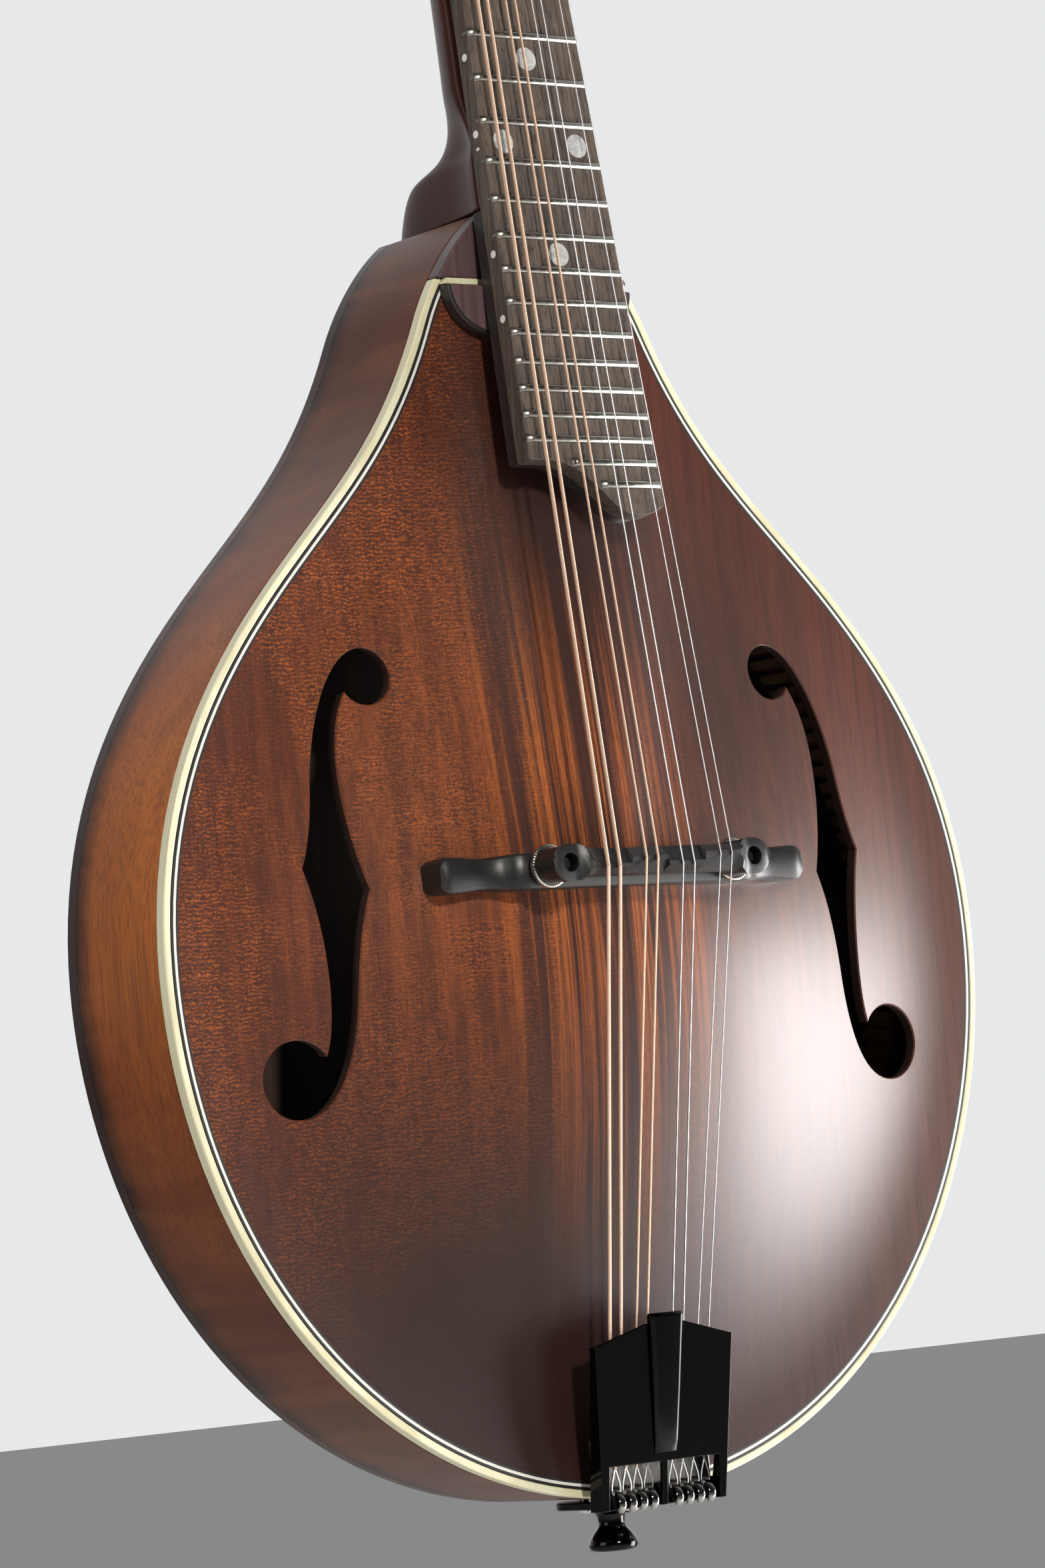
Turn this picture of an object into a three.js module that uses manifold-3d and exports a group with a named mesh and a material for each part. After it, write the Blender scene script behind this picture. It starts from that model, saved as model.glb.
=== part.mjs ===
// An A-style mandolin with f-holes, built up piece by piece.
//
// Millimetres, +Z up along the neck, +X to the treble side, -Y out of the soundboard.
// The pieces are drawn from two references: z = 0 at the bridge saddle, and y = 0 at the
// front plane of the rim. The outer group then moves the origin to the end pin's flat face.

import * as THREE from 'three';
import { mergeVertices } from 'three/addons/utils/BufferGeometryUtils.js';
import Module from 'manifold-3d';

const wasm = await Module();
wasm.setup();

const DEG = Math.PI / 180;

// ---------------------------------------------------------------- driving dimensions

const SCALE_LENGTH = 352.4;           // nut to saddle, 13 7/8 in
const GAP = 0.05;                     // glue line between pieces that touch
const FIT = 0.3;                      // gap round pieces that lie on a carved surface

const BODY_HALF_WIDTH = 127.1;
const BOUT_Z = -21;                   // height of the widest part, and of the top of the arch
const TAIL_Z = -155;
const SHOULDER_Z = 163.6;             // end of the body, where the heel is glued
const RIM_DEPTH = 41.3;
const RIM_WALL = 2.2;
const FRONT_EDGE = 3.4;               // edge thickness of the soundboard
const BACK_EDGE = 3.5;
const FRONT_ARCH = 15.5;
const BACK_ARCH = 13;
const RECURVE = 0.94;                 // share of the radius where the arch runs out

const BINDING_WIDTH = 2;
const CROSS_BINDING = [145.4, 147];   // lower and upper edge of the strip across the neck end
const LINING = { width: 4.3, height: 7.6, low: -138, high: 117 };

const BOARD_TILT = 6.46 * DEG;
const BOARD_PLANE_Y = -29.43;         // where the fingerboard's plane meets the saddle line
const BOARD_THICKNESS = 5;
const BOARD_HALF_WIDTH_NUT = 14.05;
const BOARD_FLARE = 0.0237;           // half-width gained for each mm away from the nut
const NUT = { thickness: 4, rise: 1.5 };

const HEAD_TILT = 14 * DEG;
const HEAD_THICKNESS = 13.5;
const OVERLAY_THICKNESS = 1.6;

const POST = { x: 19, first: 34, spacing: 23, radius: 3, bore: 3.3, front: -13.5 };
const PLATE_THICKNESS = 1.2;
const WORM = { offset: 8.1, lift: 3.4, pitch: 2.2, shaft: 1.3, bore: 1.45, tip: 2.9 };
const GEAR = { teeth: 16, tip: 6.2, root: 4.4, tipHalf: 0.27, half: 1.1 };

const BRIDGE = { z: -2.1, halfWidth: 4.3, halfLength: 57, post: 28.8, postRadius: 1.8 };
const SADDLE = { z: -1.3, top: -33.2, under: -23.2, shoulder: -30.5, bossRadius: 4.9, bossTop: -31 };
const THUMBWHEEL = { radius: 5.3, thickness: 1.6 };

const TAILPIECE = { topZ: -117.3, topY: -13.8, bottomZ: -155.2, bottomY: -8.7, sheet: 1.2 };
const END_PIN_FACE_Z = -168;
const PIN_Y = 13.5;

const STRINGS = [
  { saddleX: -19.7, nutX: -11.6, radius: 0.5, post: [-1, 0] },
  { saddleX: -16.1, nutX: -9, radius: 0.5, post: [-1, 1] },
  { saddleX: -7.5, nutX: -4.7, radius: 0.33, post: [-1, 2] },
  { saddleX: -3.9, nutX: -2.1, radius: 0.33, post: [-1, 3] },
  { saddleX: 3.9, nutX: 2.1, radius: 0.21, post: [1, 3] },
  { saddleX: 7.5, nutX: 4.7, radius: 0.21, post: [1, 2] },
  { saddleX: 16.1, nutX: 9, radius: 0.15, post: [1, 1] },
  { saddleX: 19.7, nutX: 11.6, radius: 0.15, post: [1, 0] },
];
const HOOK_X = [-14.1, -10.7, -7.3, -3.9, 3.9, 7.3, 10.7, 14.1];

// ---------------------------------------------------------------- materials

function material(color, roughness, metalness = 0) {
  return new THREE.MeshStandardMaterial({ color, roughness, metalness });
}

const topFinish = material(0x5a2410, 0.38);
const sideFinish = material(0x7a3a16, 0.35);
const neckFinish = material(0x3a1a10, 0.4);
const bareMaple = material(0xc9a26a, 0.75);
const bareSpruce = material(0xd8b47c, 0.8);
const cream = material(0xe6dcb0, 0.45);
const rosewood = material(0x32231c, 0.6);
const ebony = material(0x151314, 0.5);
const bone = material(0xe9e2cf, 0.4);
const steel = material(0xb8b8bc, 0.25, 1);
const nickel = material(0x9a958c, 0.18, 1);
const blackNickel = material(0x2a2828, 0.15, 1);
const bronze = material(0xb98a5e, 0.35, 1);
const pearl = material(0xe8e6df, 0.25);

// ---------------------------------------------------------------- solids

function toSolid(geometry) {
  const bare = geometry.clone();
  bare.deleteAttribute('normal');
  bare.deleteAttribute('uv');
  const merged = mergeVertices(bare, 1e-4);
  return new wasm.Manifold(new wasm.Mesh({
    numProp: 3,
    vertProperties: new Float32Array(merged.attributes.position.array),
    triVerts: new Uint32Array(merged.index.array),
  }));
}

function toGeometry(solid) {
  const { vertProperties, triVerts } = solid.getMesh();
  const geometry = new THREE.BufferGeometry();
  geometry.setAttribute('position', new THREE.BufferAttribute(vertProperties, 3));
  geometry.setIndex(new THREE.BufferAttribute(triVerts, 1));
  geometry.computeVertexNormals();
  return geometry;
}

function cut(geometry, ...tools) {
  return toGeometry(tools.reduce((solid, tool) => solid.subtract(toSolid(tool)), toSolid(geometry)));
}

function join(first, ...others) {
  return toGeometry(others.reduce((solid, other) => solid.add(toSolid(other)), toSolid(first)));
}

function signedVolume(points, indices) {
  let volume = 0;
  for (let i = 0; i < indices.length; i += 3) {
    const [a, b, c] = [points[indices[i]], points[indices[i + 1]], points[indices[i + 2]]];
    volume += a.dot(new THREE.Vector3().crossVectors(b, c)) / 6;
  }
  return volume;
}

// A closed skin through rings of points, with a fan of triangles over each end.
function loft(rings) {
  const count = rings[0].length;
  const points = rings.flat();
  const indices = [];
  for (let r = 0; r + 1 < rings.length; r += 1) {
    for (let i = 0; i < count; i += 1) {
      const a = r * count + i;
      const b = r * count + (i + 1) % count;
      indices.push(a, b, b + count, a, b + count, a + count);
    }
  }
  for (const start of [0, (rings.length - 1) * count]) {
    const middle = new THREE.Vector3();
    for (let i = 0; i < count; i += 1) middle.addScaledVector(points[start + i], 1 / count);
    points.push(middle);
    for (let i = 0; i < count; i += 1) {
      const [a, b] = [start + i, start + (i + 1) % count];
      if (start === 0) indices.push(b, a, points.length - 1);
      else indices.push(a, b, points.length - 1);
    }
  }
  if (signedVolume(points, indices) < 0) indices.reverse();
  const geometry = new THREE.BufferGeometry().setFromPoints(points);
  geometry.setIndex(indices);
  geometry.computeVertexNormals();
  return geometry;
}

function extruded(shape, depth, curveSegments) {
  return new THREE.ExtrudeGeometry(shape, { depth, curveSegments, bevelEnabled: false });
}

// A shape drawn in x and z, solid from y = low to y = high.
function plateY(shape, low, high, curveSegments = 6) {
  return extruded(shape, high - low, curveSegments).rotateX(Math.PI / 2).translate(0, high, 0);
}

// A shape drawn in y and z, solid from x = low to x = high.
function plateX(shape, low, high) {
  const turn = new THREE.Matrix4().makeBasis(
    new THREE.Vector3(0, 1, 0), new THREE.Vector3(0, 0, 1), new THREE.Vector3(1, 0, 0));
  return extruded(shape, high - low, 6).applyMatrix4(turn).translate(low, 0, 0);
}

// A shape drawn in x and y, solid from z = low to z = high.
function plateZ(shape, low, high) {
  return extruded(shape, high - low, 6).translate(0, 0, low);
}

function polygon(points) {
  return new THREE.Shape(points.map(([x, y]) => new THREE.Vector2(x, y)));
}

function box([x0, x1], [y0, y1], [z0, z1]) {
  return new THREE.BoxGeometry(x1 - x0, y1 - y0, z1 - z0)
    .translate((x0 + x1) / 2, (y0 + y1) / 2, (z0 + z1) / 2);
}

function rodY(radius, x, z, low, high, sides = 10) {
  return new THREE.CylinderGeometry(radius, radius, high - low, sides)
    .translate(x, (low + high) / 2, z);
}

function rodZ(radius, x, y, low, high, sides = 10) {
  return new THREE.CylinderGeometry(radius, radius, high - low, sides)
    .rotateX(Math.PI / 2).translate(x, y, (low + high) / 2);
}

// ---------------------------------------------------------------- scene

const mandolin = new THREE.Group();
mandolin.position.set(0, -PIN_Y, -END_PIN_FACE_Z);

// The fingerboard's frame: y = 0 on its playing face, z along it from the saddle line.
const board = new THREE.Group();
board.position.set(0, BOARD_PLANE_Y, 0);
board.rotation.x = -BOARD_TILT;
mandolin.add(board);

// The headstock's frame: y = 0 on the wood under its overlay, z up from the nut.
const head = new THREE.Group();
head.position.set(0, BOARD_THICKNESS + GAP, SCALE_LENGTH + NUT.thickness + 0.4);
head.rotation.x = -HEAD_TILT;
board.add(head);

board.updateMatrix();
head.updateMatrix();
const headMatrix = new THREE.Matrix4().multiplyMatrices(board.matrix, head.matrix);

function add(name, geometry, finish, parent = mandolin) {
  const mesh = new THREE.Mesh(geometry, finish);
  mesh.name = name;
  parent.add(mesh);
  return mesh;
}

// ---------------------------------------------------------------- body outline

function outlineCurves() {
  const at = (x, z) => new THREE.Vector2(x, z);
  const widest = at(BODY_HALF_WIDTH, BOUT_Z);
  const waist = at(78.85, 79.27);
  const neckSide = at(35.49, 136.89);
  const shoulder = at(15, SHOULDER_Z);
  const waistDir = at(-Math.sin(0.78), Math.cos(0.78));
  const sideDir = at(-Math.sin(0.41), Math.cos(0.41));
  const along = (from, dir, length) => from.clone().addScaledVector(dir, length);
  return [
    [new THREE.EllipseCurve(0, BOUT_Z, BODY_HALF_WIDTH, BOUT_Z - TAIL_Z, -Math.PI / 2, 0), 10],
    [new THREE.CubicBezierCurve(
      widest, along(widest, at(0, 1), 47.44), along(waist, waistDir, -32.99), waist), 5],
    [new THREE.CubicBezierCurve(
      waist, along(waist, waistDir, 25.56), along(neckSide, sideDir, -29.29), neckSide), 5],
    [new THREE.CubicBezierCurve(
      neckSide, along(neckSide, sideDir, 8.79), along(shoulder, at(0.8, -0.6), 12.2), shoulder), 4],
  ];
}

// The treble half of the outline, moved in by `inset`, from the tail to the shoulder.
function halfOutline(inset) {
  const points = [];
  for (const [curve, steps] of outlineCurves()) {
    for (let i = points.length ? 1 : 0; i <= steps; i += 1) {
      const tangent = curve.getTangent(i / steps);
      const point = curve.getPoint(i / steps);
      points.push(point.add(new THREE.Vector2(-tangent.y, tangent.x).multiplyScalar(inset)));
    }
  }
  points[0].x = 0;
  return points;
}

function pointAtZ(line, z) {
  const i = line.findIndex((point, k) => k > 0 && point.y >= z);
  const [a, b] = [line[i - 1], line[i]];
  return a.clone().lerp(b, (z - a.y) / (b.y - a.y));
}

// The stretch of a half outline between two heights.
function between(line, low, high) {
  const out = line.filter((point) => point.y > low && point.y < high);
  if (low > line[0].y) out.unshift(pointAtZ(line, low));
  if (high < line[line.length - 1].y) out.push(pointAtZ(line, high));
  return out;
}

const mirrored = (points) => points.map((point) => new THREE.Vector2(-point.x, point.y));
const sides = [['bass', -1], ['treble', 1]];

// A strip that follows the rim, from `outer` to `inner` mm inside the outline.
function rimStrip(side, outer, inner, yRange, low = TAIL_Z - 1, high = SHOULDER_Z + 1) {
  const line = [
    ...between(halfOutline(outer), low, high),
    ...between(halfOutline(inner), low, high).reverse(),
  ];
  return plateY(new THREE.Shape(side < 0 ? mirrored(line) : line), ...yRange);
}

// A flat piece that fills the outline between two heights, both sides.
function fullWidth(inset, low, high, yRange) {
  const right = between(halfOutline(inset), low, high);
  return plateY(new THREE.Shape([...right, ...mirrored(right).reverse()]), ...yRange);
}

// ---------------------------------------------------------------- plates

function arch(share) {
  return Math.max(0, 1 - (share / RECURVE) ** 2) ** 2;
}

// Share of the way from the arch's top to the rim, along the ray through a point.
function shareAt(x, z) {
  const ray = new THREE.Vector2(Math.abs(x), z - BOUT_Z);
  const rim = halfOutline(BINDING_WIDTH + GAP).map((point) => point.setY(point.y - BOUT_Z));
  const i = rim.findIndex((point, k) => k > 0 && ray.cross(point) >= 0);
  if (i < 0) return (z - BOUT_Z) / (SHOULDER_Z - BOUT_Z);
  const edge = rim[i].clone().sub(rim[i - 1]);
  return ray.cross(edge) / rim[i - 1].cross(edge);
}

function archedPlate(inset, outerY, innerY) {
  const right = halfOutline(inset);
  const loop = [...right, ...mirrored(right.slice(1)).reverse()];
  const shares = [0.14, 0.3, 0.46, 0.62, 0.76, 0.88, 1];
  const ring = (share, y) => loop.map((point) => new THREE.Vector3(
    point.x * share, y, BOUT_Z + (point.y - BOUT_Z) * share));
  return loft([
    ...shares.map((share) => ring(share, outerY(share))),
    ...shares.reverse().map((share) => ring(share, innerY(share))),
  ]);
}

function soundHole(side) {
  const hole = new THREE.Shape();
  hole.absarc(63.8, 48, 7, -0.55, Math.PI / 2, true);
  hole.bezierCurveTo(73, 55, 80.5, 38, 82.6, 22);
  hole.quadraticCurveTo(84, 9.5, 87.3, 2);
  hole.bezierCurveTo(82.2, -14, 82, -36, 85.26, -42.87);
  hole.absarc(93.2, -47.9, 9.4, 2.577, -Math.PI / 2, true);
  hole.bezierCurveTo(83.5, -57.3, 78.2, -46, 76.4, -32);
  hole.bezierCurveTo(75.4, -22, 74, -12, 70.5, -3.8);
  hole.bezierCurveTo(74.5, 8, 78.6, 32, 69.77, 44.34);
  const outline = hole.getPoints(5);
  return plateY(new THREE.Shape(side < 0 ? mirrored(outline) : outline), -20, 6);
}

const frontInset = BINDING_WIDTH + GAP;
const soundboard = archedPlate(frontInset,
  (share) => -FRONT_ARCH * arch(share),
  (share) => FRONT_EDGE - 0.96 * FRONT_ARCH * arch(share));
add('soundboard', cut(soundboard, soundHole(-1), soundHole(1),
  box([-60, 60], [-20, 20], [CROSS_BINDING[0] - GAP, 200])), topFinish);

const pinHole = rodZ(3.3, 0, PIN_Y, -170, -140);
const TAIL_SCREW_Y = [5.6, 23.3];
const screwHoles = TAIL_SCREW_Y.map((y) => rodZ(1.7, 0, y, -170, -144, 8));

add('back_plate', archedPlate(0,
  (share) => RIM_DEPTH + BACK_ARCH * arch(share),
  (share) => RIM_DEPTH - BACK_EDGE + 0.96 * BACK_ARCH * arch(share)), sideFinish);

const rimSpan = [FRONT_EDGE, RIM_DEPTH - BACK_EDGE];
for (const [name, side] of sides) {
  add(`rim_${name}`,
    cut(rimStrip(side, 0, RIM_WALL, rimSpan), pinHole, ...screwHoles), sideFinish);
  add(`binding_${name}`,
    rimStrip(side, 0, BINDING_WIDTH, [0, FRONT_EDGE], TAIL_Z - 1, CROSS_BINDING[1]), cream);
  const inner = RIM_WALL + GAP;
  const { width, height, low, high } = LINING;
  add(`front_lining_${name}`, rimStrip(side, inner, inner + width,
    [rimSpan[0] + GAP, rimSpan[0] + height], low, high), bareSpruce);
  add(`back_lining_${name}`, rimStrip(side, inner, inner + width,
    [rimSpan[1] - height, rimSpan[1] - GAP], low, high), bareSpruce);
}

const blockSpan = [rimSpan[0] + GAP, rimSpan[1] - GAP];
const blockInset = RIM_WALL + GAP;
add('neck_block', fullWidth(blockInset, LINING.high + GAP, SHOULDER_Z + 1, blockSpan), bareMaple);

const tailBlockTop = LINING.low - GAP;
add('tail_block',
  cut(fullWidth(blockInset, TAIL_Z - 1, tailBlockTop, blockSpan), pinHole, ...screwHoles), bareMaple);

const shoulderFace = -1.5;
add('cross_binding', fullWidth(frontInset, ...CROSS_BINDING, [shoulderFace, FRONT_EDGE]), cream);
add('shoulder_plate', fullWidth(0, CROSS_BINDING[1] + GAP, SHOULDER_Z + 1,
  [shoulderFace, FRONT_EDGE - GAP]), topFinish);

// Tone bars run the length of the soundboard under each foot of the bridge.
for (const [name, side] of sides) {
  const x = side * 18;
  const rings = [-104, -78, -50, -21, 10, 42, 74, 104].map((z) => {
    const under = FRONT_EDGE - 0.96 * FRONT_ARCH * arch(shareAt(x, z)) + 0.8;
    const deep = under + 9 * Math.cos((z / 104) * (Math.PI / 2)) + 2;
    return [[-3, under], [3, under], [2, deep], [-2, deep]]
      .map(([dx, y]) => new THREE.Vector3(x + dx, y, z));
  });
  add(`tone_bar_${name}`, loft(rings), bareSpruce);
}

// ---------------------------------------------------------------- neck

function lerpTable(table, at) {
  const i = Math.max(1, table.findIndex(([key]) => key >= at));
  const [[k0, v0], [k1, v1]] = [table[i - 1], table[i]];
  return v0 + ((at - k0) / (k1 - k0)) * (v1 - v0);
}

const boardY = (z) => BOARD_PLANE_Y + z * Math.tan(BOARD_TILT);
const neckFront = (z) => boardY(z) + (BOARD_THICKNESS + GAP) / Math.cos(BOARD_TILT);
const boardHalfWidth = (z) => BOARD_HALF_WIDTH_NUT + BOARD_FLARE * (350.2 - z);

const neckBack = [
  [163, 43], [169.8, 41.6], [174, 39.9], [176.9, 37.7], [178.3, 34.7], [179.2, 30],
  [180.3, 24.4], [182, 21.2], [185.6, 18.9], [192, 17.6], [205, 18.2], [340, 29.9], [362, 33],
];
const heelSide = [
  [1, 0], [0.79, 0.2], [0.68, 0.5], [0.6, 0.78], [0.5, 0.96], [0.2, 1],
  [-0.2, 1], [-0.5, 0.96], [-0.6, 0.78], [-0.68, 0.5], [-0.79, 0.2], [-1, 0],
];

// Across the neck: a rounded D on the shaft, running into a narrow wedge at the heel.
function neckSection(z) {
  const heelShare = THREE.MathUtils.smoothstep(196 - z, 0, 17);
  const depth = lerpTable(neckBack, z) - neckFront(z);
  const halfWidth = boardHalfWidth(z) - 0.2;
  return heelSide.map(([wedgeX, wedgeY], i) => {
    const angle = (i / (heelSide.length - 1)) * Math.PI;
    const x = THREE.MathUtils.lerp(Math.cos(angle), wedgeX, heelShare);
    const y = THREE.MathUtils.lerp(Math.sin(angle) ** 0.85, wedgeY, heelShare);
    return new THREE.Vector3(x * halfWidth, neckFront(z) + y * depth, z);
  });
}

function headShape(low, margin) {
  const shape = new THREE.Shape();
  const halfNut = 15 - margin;
  shape.moveTo(-halfNut, low);
  shape.lineTo(halfNut, low);
  if (low < 2) shape.lineTo(halfNut, 2);
  shape.bezierCurveTo(halfNut, 12, 26 - margin, 14, 28.5 - margin, 24);
  shape.lineTo(25.6 - margin, 124);
  shape.quadraticCurveTo(25 - margin, 134, 14, 137);
  shape.quadraticCurveTo(0, 141, -14, 137);
  shape.quadraticCurveTo(-25 + margin, 134, -25.6 + margin, 124);
  shape.lineTo(-28.5 + margin, 24);
  shape.bezierCurveTo(-26 + margin, 14, -halfNut, 12, -halfNut, 2);
  return shape;
}

const posts = [];
for (const side of [-1, 1]) {
  for (let k = 0; k < 4; k += 1) posts.push({ side, x: side * POST.x, z: POST.first + k * POST.spacing });
}
const postBores = () => posts.map(({ x, z }) => rodY(POST.bore / Math.cos(Math.PI / 10), x, z, -5, 20));

const stations = [163.8, 169.8, 174, 176.9, 178.3, 179.2, 180.3, 182, 185.6, 192, 205, 250, 300, 358];
const shaft = loft(stations.map(neckSection));
const headBlank = cut(plateY(headShape(-16, 0), 0, HEAD_THICKNESS, 4), ...postBores())
  .applyMatrix4(headMatrix);
const headFront = box([-40, 40], [-30, 0], [0, 60]).applyMatrix4(headMatrix);
const boardSeat = box([-40, 40], [-30, BOARD_THICKNESS + GAP], [130, head.position.z])
  .applyMatrix4(board.matrix);
const rodSlot = box([-3, 3], [0, 14], [176, 374]).applyMatrix4(board.matrix);
add('neck', cut(join(shaft, headBlank), headFront, boardSeat, rodSlot), neckFinish);

const rodY0 = BOARD_THICKNESS + 4.6;
add('truss_rod', rodZ(2.3, 0, rodY0, 178, 368, 8), steel, board);

const accessHole = box([-3.4, 3.4], [-5, 5], [2.5, 18]);
add('headstock_overlay',
  cut(plateY(headShape(2, 0), -OVERLAY_THICKNESS, -GAP, 4), ...postBores(), accessHole), ebony, head);

const cover = new THREE.Shape();
cover.moveTo(-5, 2.2);
cover.lineTo(5, 2.2);
cover.quadraticCurveTo(6.5, 14, 5, 21);
cover.quadraticCurveTo(0, 30, -5, 21);
cover.quadraticCurveTo(-6.5, 14, -5, 2.2);
add('truss_rod_cover',
  plateY(cover, -OVERLAY_THICKNESS - 1.6, -OVERLAY_THICKNESS - GAP, 4), ebony, head);

// ---------------------------------------------------------------- fingerboard and nut

// The body end is scooped, and longer on the treble side, where the last two frets are.
function boardShape(margin, nutEnd) {
  const halfWidth = (z) => boardHalfWidth(z) - margin;
  const shape = new THREE.Shape();
  shape.moveTo(-halfWidth(nutEnd), nutEnd);
  shape.lineTo(-halfWidth(99.4 + margin), 99.4 + margin);
  shape.lineTo(-13, 99.4 + margin);
  shape.bezierCurveTo(-3, 98 + margin, 1.5, 91 + margin, 5, 88 + margin);
  shape.bezierCurveTo(9, 84.6 + margin, 16, 85 + margin, halfWidth(88.2), 88.2 + margin);
  shape.lineTo(halfWidth(nutEnd), nutEnd);
  return shape;
}

add('fingerboard', plateY(boardShape(0, SCALE_LENGTH - GAP), 0, BOARD_THICKNESS, 6), rosewood, board);

// The riser carries the board over the soundboard and stands on a flared foot.
const riserTop = BOARD_THICKNESS + GAP;
const riser = plateY(boardShape(0.6, 164), riserTop, riserTop + 4, 6).applyMatrix4(board.matrix);
const foot = new THREE.Shape();
foot.moveTo(-29, 144.6);
foot.bezierCurveTo(-28.5, 137, -22, 132.4, -13, 131.8);
foot.lineTo(13, 131.8);
foot.bezierCurveTo(22, 132.4, 28.5, 137, 29, 144.6);
const web = box([-15, 15], [-10, -1.6], [132.2, 165]);
const abovePlate = box([-40, 40], [-30, boardY(150)], [140, 170]);
add('fingerboard_riser', cut(
  join(riser, plateY(foot, -3.7, -1, 4), web),
  box([-40, 40], [-40, riserTop], [80, 200]).applyMatrix4(board.matrix),
  box([-40, 40], [shoulderFace - GAP, 20], [CROSS_BINDING[0] - 0.4, 200]),
  box([-40, 40], [-40, 20], [SHOULDER_Z, 220])), ebony);

const nutTop = -NUT.rise;
add('nut', plateX(polygon([
  [nutTop, SCALE_LENGTH], [nutTop, SCALE_LENGTH + 0.8],
  [nutTop + 1.3, SCALE_LENGTH + NUT.thickness],
  [BOARD_THICKNESS, SCALE_LENGTH + NUT.thickness], [BOARD_THICKNESS, SCALE_LENGTH],
]), -14.3, 14.3), bone, board);

// ---------------------------------------------------------------- bridge

const bridgeBottom = (x) => -FRONT_ARCH * arch(shareAt(x, BRIDGE.z - BRIDGE.halfWidth)) - FIT;
const bottomLine = [];
for (let x = -BRIDGE.halfLength; x <= BRIDGE.halfLength; x += BRIDGE.halfLength / 6) {
  bottomLine.push([x, bridgeBottom(x)]);
}
const baseProfile = polygon([
  ...bottomLine,
  [57, -16.2], [50, -16.4], [42, -17.6], [36.5, -20.4], [35, -20.9],
  [-35, -20.9], [-36.5, -20.4], [-42, -17.6], [-50, -16.4], [-57, -16.2],
]);
const postX = [-BRIDGE.post, BRIDGE.post];
add('bridge_base', cut(
  plateZ(baseProfile, BRIDGE.z - BRIDGE.halfWidth, BRIDGE.z + BRIDGE.halfWidth),
  ...postX.map((x) => rodY(BRIDGE.postRadius + 0.15, x, SADDLE.z, -30, -16.5))), ebony);

const POST_HOLE = 2.3;
const saddleSection = polygon([
  [SADDLE.under, SADDLE.z - 3.1], [SADDLE.under, SADDLE.z + 3.1], [SADDLE.shoulder, SADDLE.z + 3.1],
  [SADDLE.top, SADDLE.z + 0.4], [SADDLE.top, SADDLE.z - 0.4], [SADDLE.shoulder, SADDLE.z - 3.1],
]);
const bosses = postX.map((x) => rodY(SADDLE.bossRadius, x, SADDLE.z, SADDLE.bossTop, SADDLE.under, 16));
add('bridge_saddle', cut(
  join(plateX(saddleSection, -24.5, 24.5), ...bosses),
  ...postX.map((x) => rodY(POST_HOLE, x, SADDLE.z, -40, -20))), ebony);

const wheelTop = SADDLE.under + GAP;
for (const [name, side] of sides) {
  const x = side * BRIDGE.post;
  add(`bridge_post_${name}`, rodY(BRIDGE.postRadius, x, SADDLE.z, -28.8, -16.6), steel);
  add(`thumbwheel_${name}`, cut(
    rodY(THUMBWHEEL.radius, x, SADDLE.z, wheelTop, wheelTop + THUMBWHEEL.thickness, 24),
    rodY(BRIDGE.postRadius + 0.2, x, SADDLE.z, -30, -20)), nickel);
}

// ---------------------------------------------------------------- tailpiece and end pin

const tailpieceSlope = (TAILPIECE.bottomY - TAILPIECE.topY) / (TAILPIECE.bottomZ - TAILPIECE.topZ);
const tailpieceFace = (z) => TAILPIECE.topY + (z - TAILPIECE.topZ) * tailpieceSlope;
const footZ = [TAIL_Z - 2.2, TAIL_Z - FIT];

// The face leans towards the tail: sheared from a flat plate so that y follows z.
function leaning(shape, proud, thickness) {
  const shear = new THREE.Matrix4().set(
    1, 0, 0, 0,
    0, 1, tailpieceSlope, TAILPIECE.topY - TAILPIECE.topZ * tailpieceSlope,
    0, 0, 1, 0,
    0, 0, 0, 1);
  return plateY(shape, -proud, thickness).applyMatrix4(shear);
}

const FACE_TOP_Z = -113;
const face = polygon([
  [-21.6, TAILPIECE.topZ], [-5.9, FACE_TOP_Z], [5.9, FACE_TOP_Z], [21.6, TAILPIECE.topZ],
  [19.4, footZ[0]], [-19.4, footZ[0]],
]);
const rib = polygon([[-5, -110.8], [5, -110.8], [3.5, -143.5], [-3.5, -143.5]]);
const hookBarY = [-6.6, -5.2];
const hookLedgeZ = -151.8;
const hooks = HOOK_X.flatMap((x) => [
  box([x - 0.9, x + 0.9], [-9.3, hookBarY[0] + 0.1], [-154, hookLedgeZ - 0.2]),
  box([x - 0.9, x + 0.9], [-9.3, -8.4], [footZ[0], -153.9]),
]);
const walls = [-18.2, 0, 18.2].map((x) => box([x - 0.9, x + 0.9], [-9, hookBarY[1]], [footZ[0], -146.2]));
const windows = [-1, 1].map((side) => box(
  side < 0 ? [-17.3, -0.9] : [0.9, 17.3], [-20, hookBarY[0]], [-160, -146.4]));
const flange = (side) => polygon([
  [side * 21.6, TAILPIECE.topZ], [side * 19.4, footZ[0]], [side * 18.2, footZ[0]],
  [side * 20.4, TAILPIECE.topZ],
]);
const pinClearance = rodZ(3.4, 0, PIN_Y, -170, -150);
const screwClearance = TAIL_SCREW_Y.map((y) => rodZ(1.8, 0, y, -170, -150, 8));
const tailFoot = [[-12, -7], [12, -7], [12, 17], [9.5, 22.5], [5, 26.5], [-5, 26.5], [-9.5, 22.5], [-12, 17]];
add('tailpiece', cut(
  join(
    cut(leaning(face, 0, TAILPIECE.sheet), ...windows),
    leaning(rib, 1.2, 0.5),
    leaning(flange(-1), 0, 3.2), leaning(flange(1), 0, 3.2),
    box([-19.1, 19.1], hookBarY, [footZ[0], hookLedgeZ]),
    ...walls, ...hooks,
    plateZ(polygon(tailFoot), ...footZ)),
  pinClearance, ...screwClearance), blackNickel);

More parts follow.
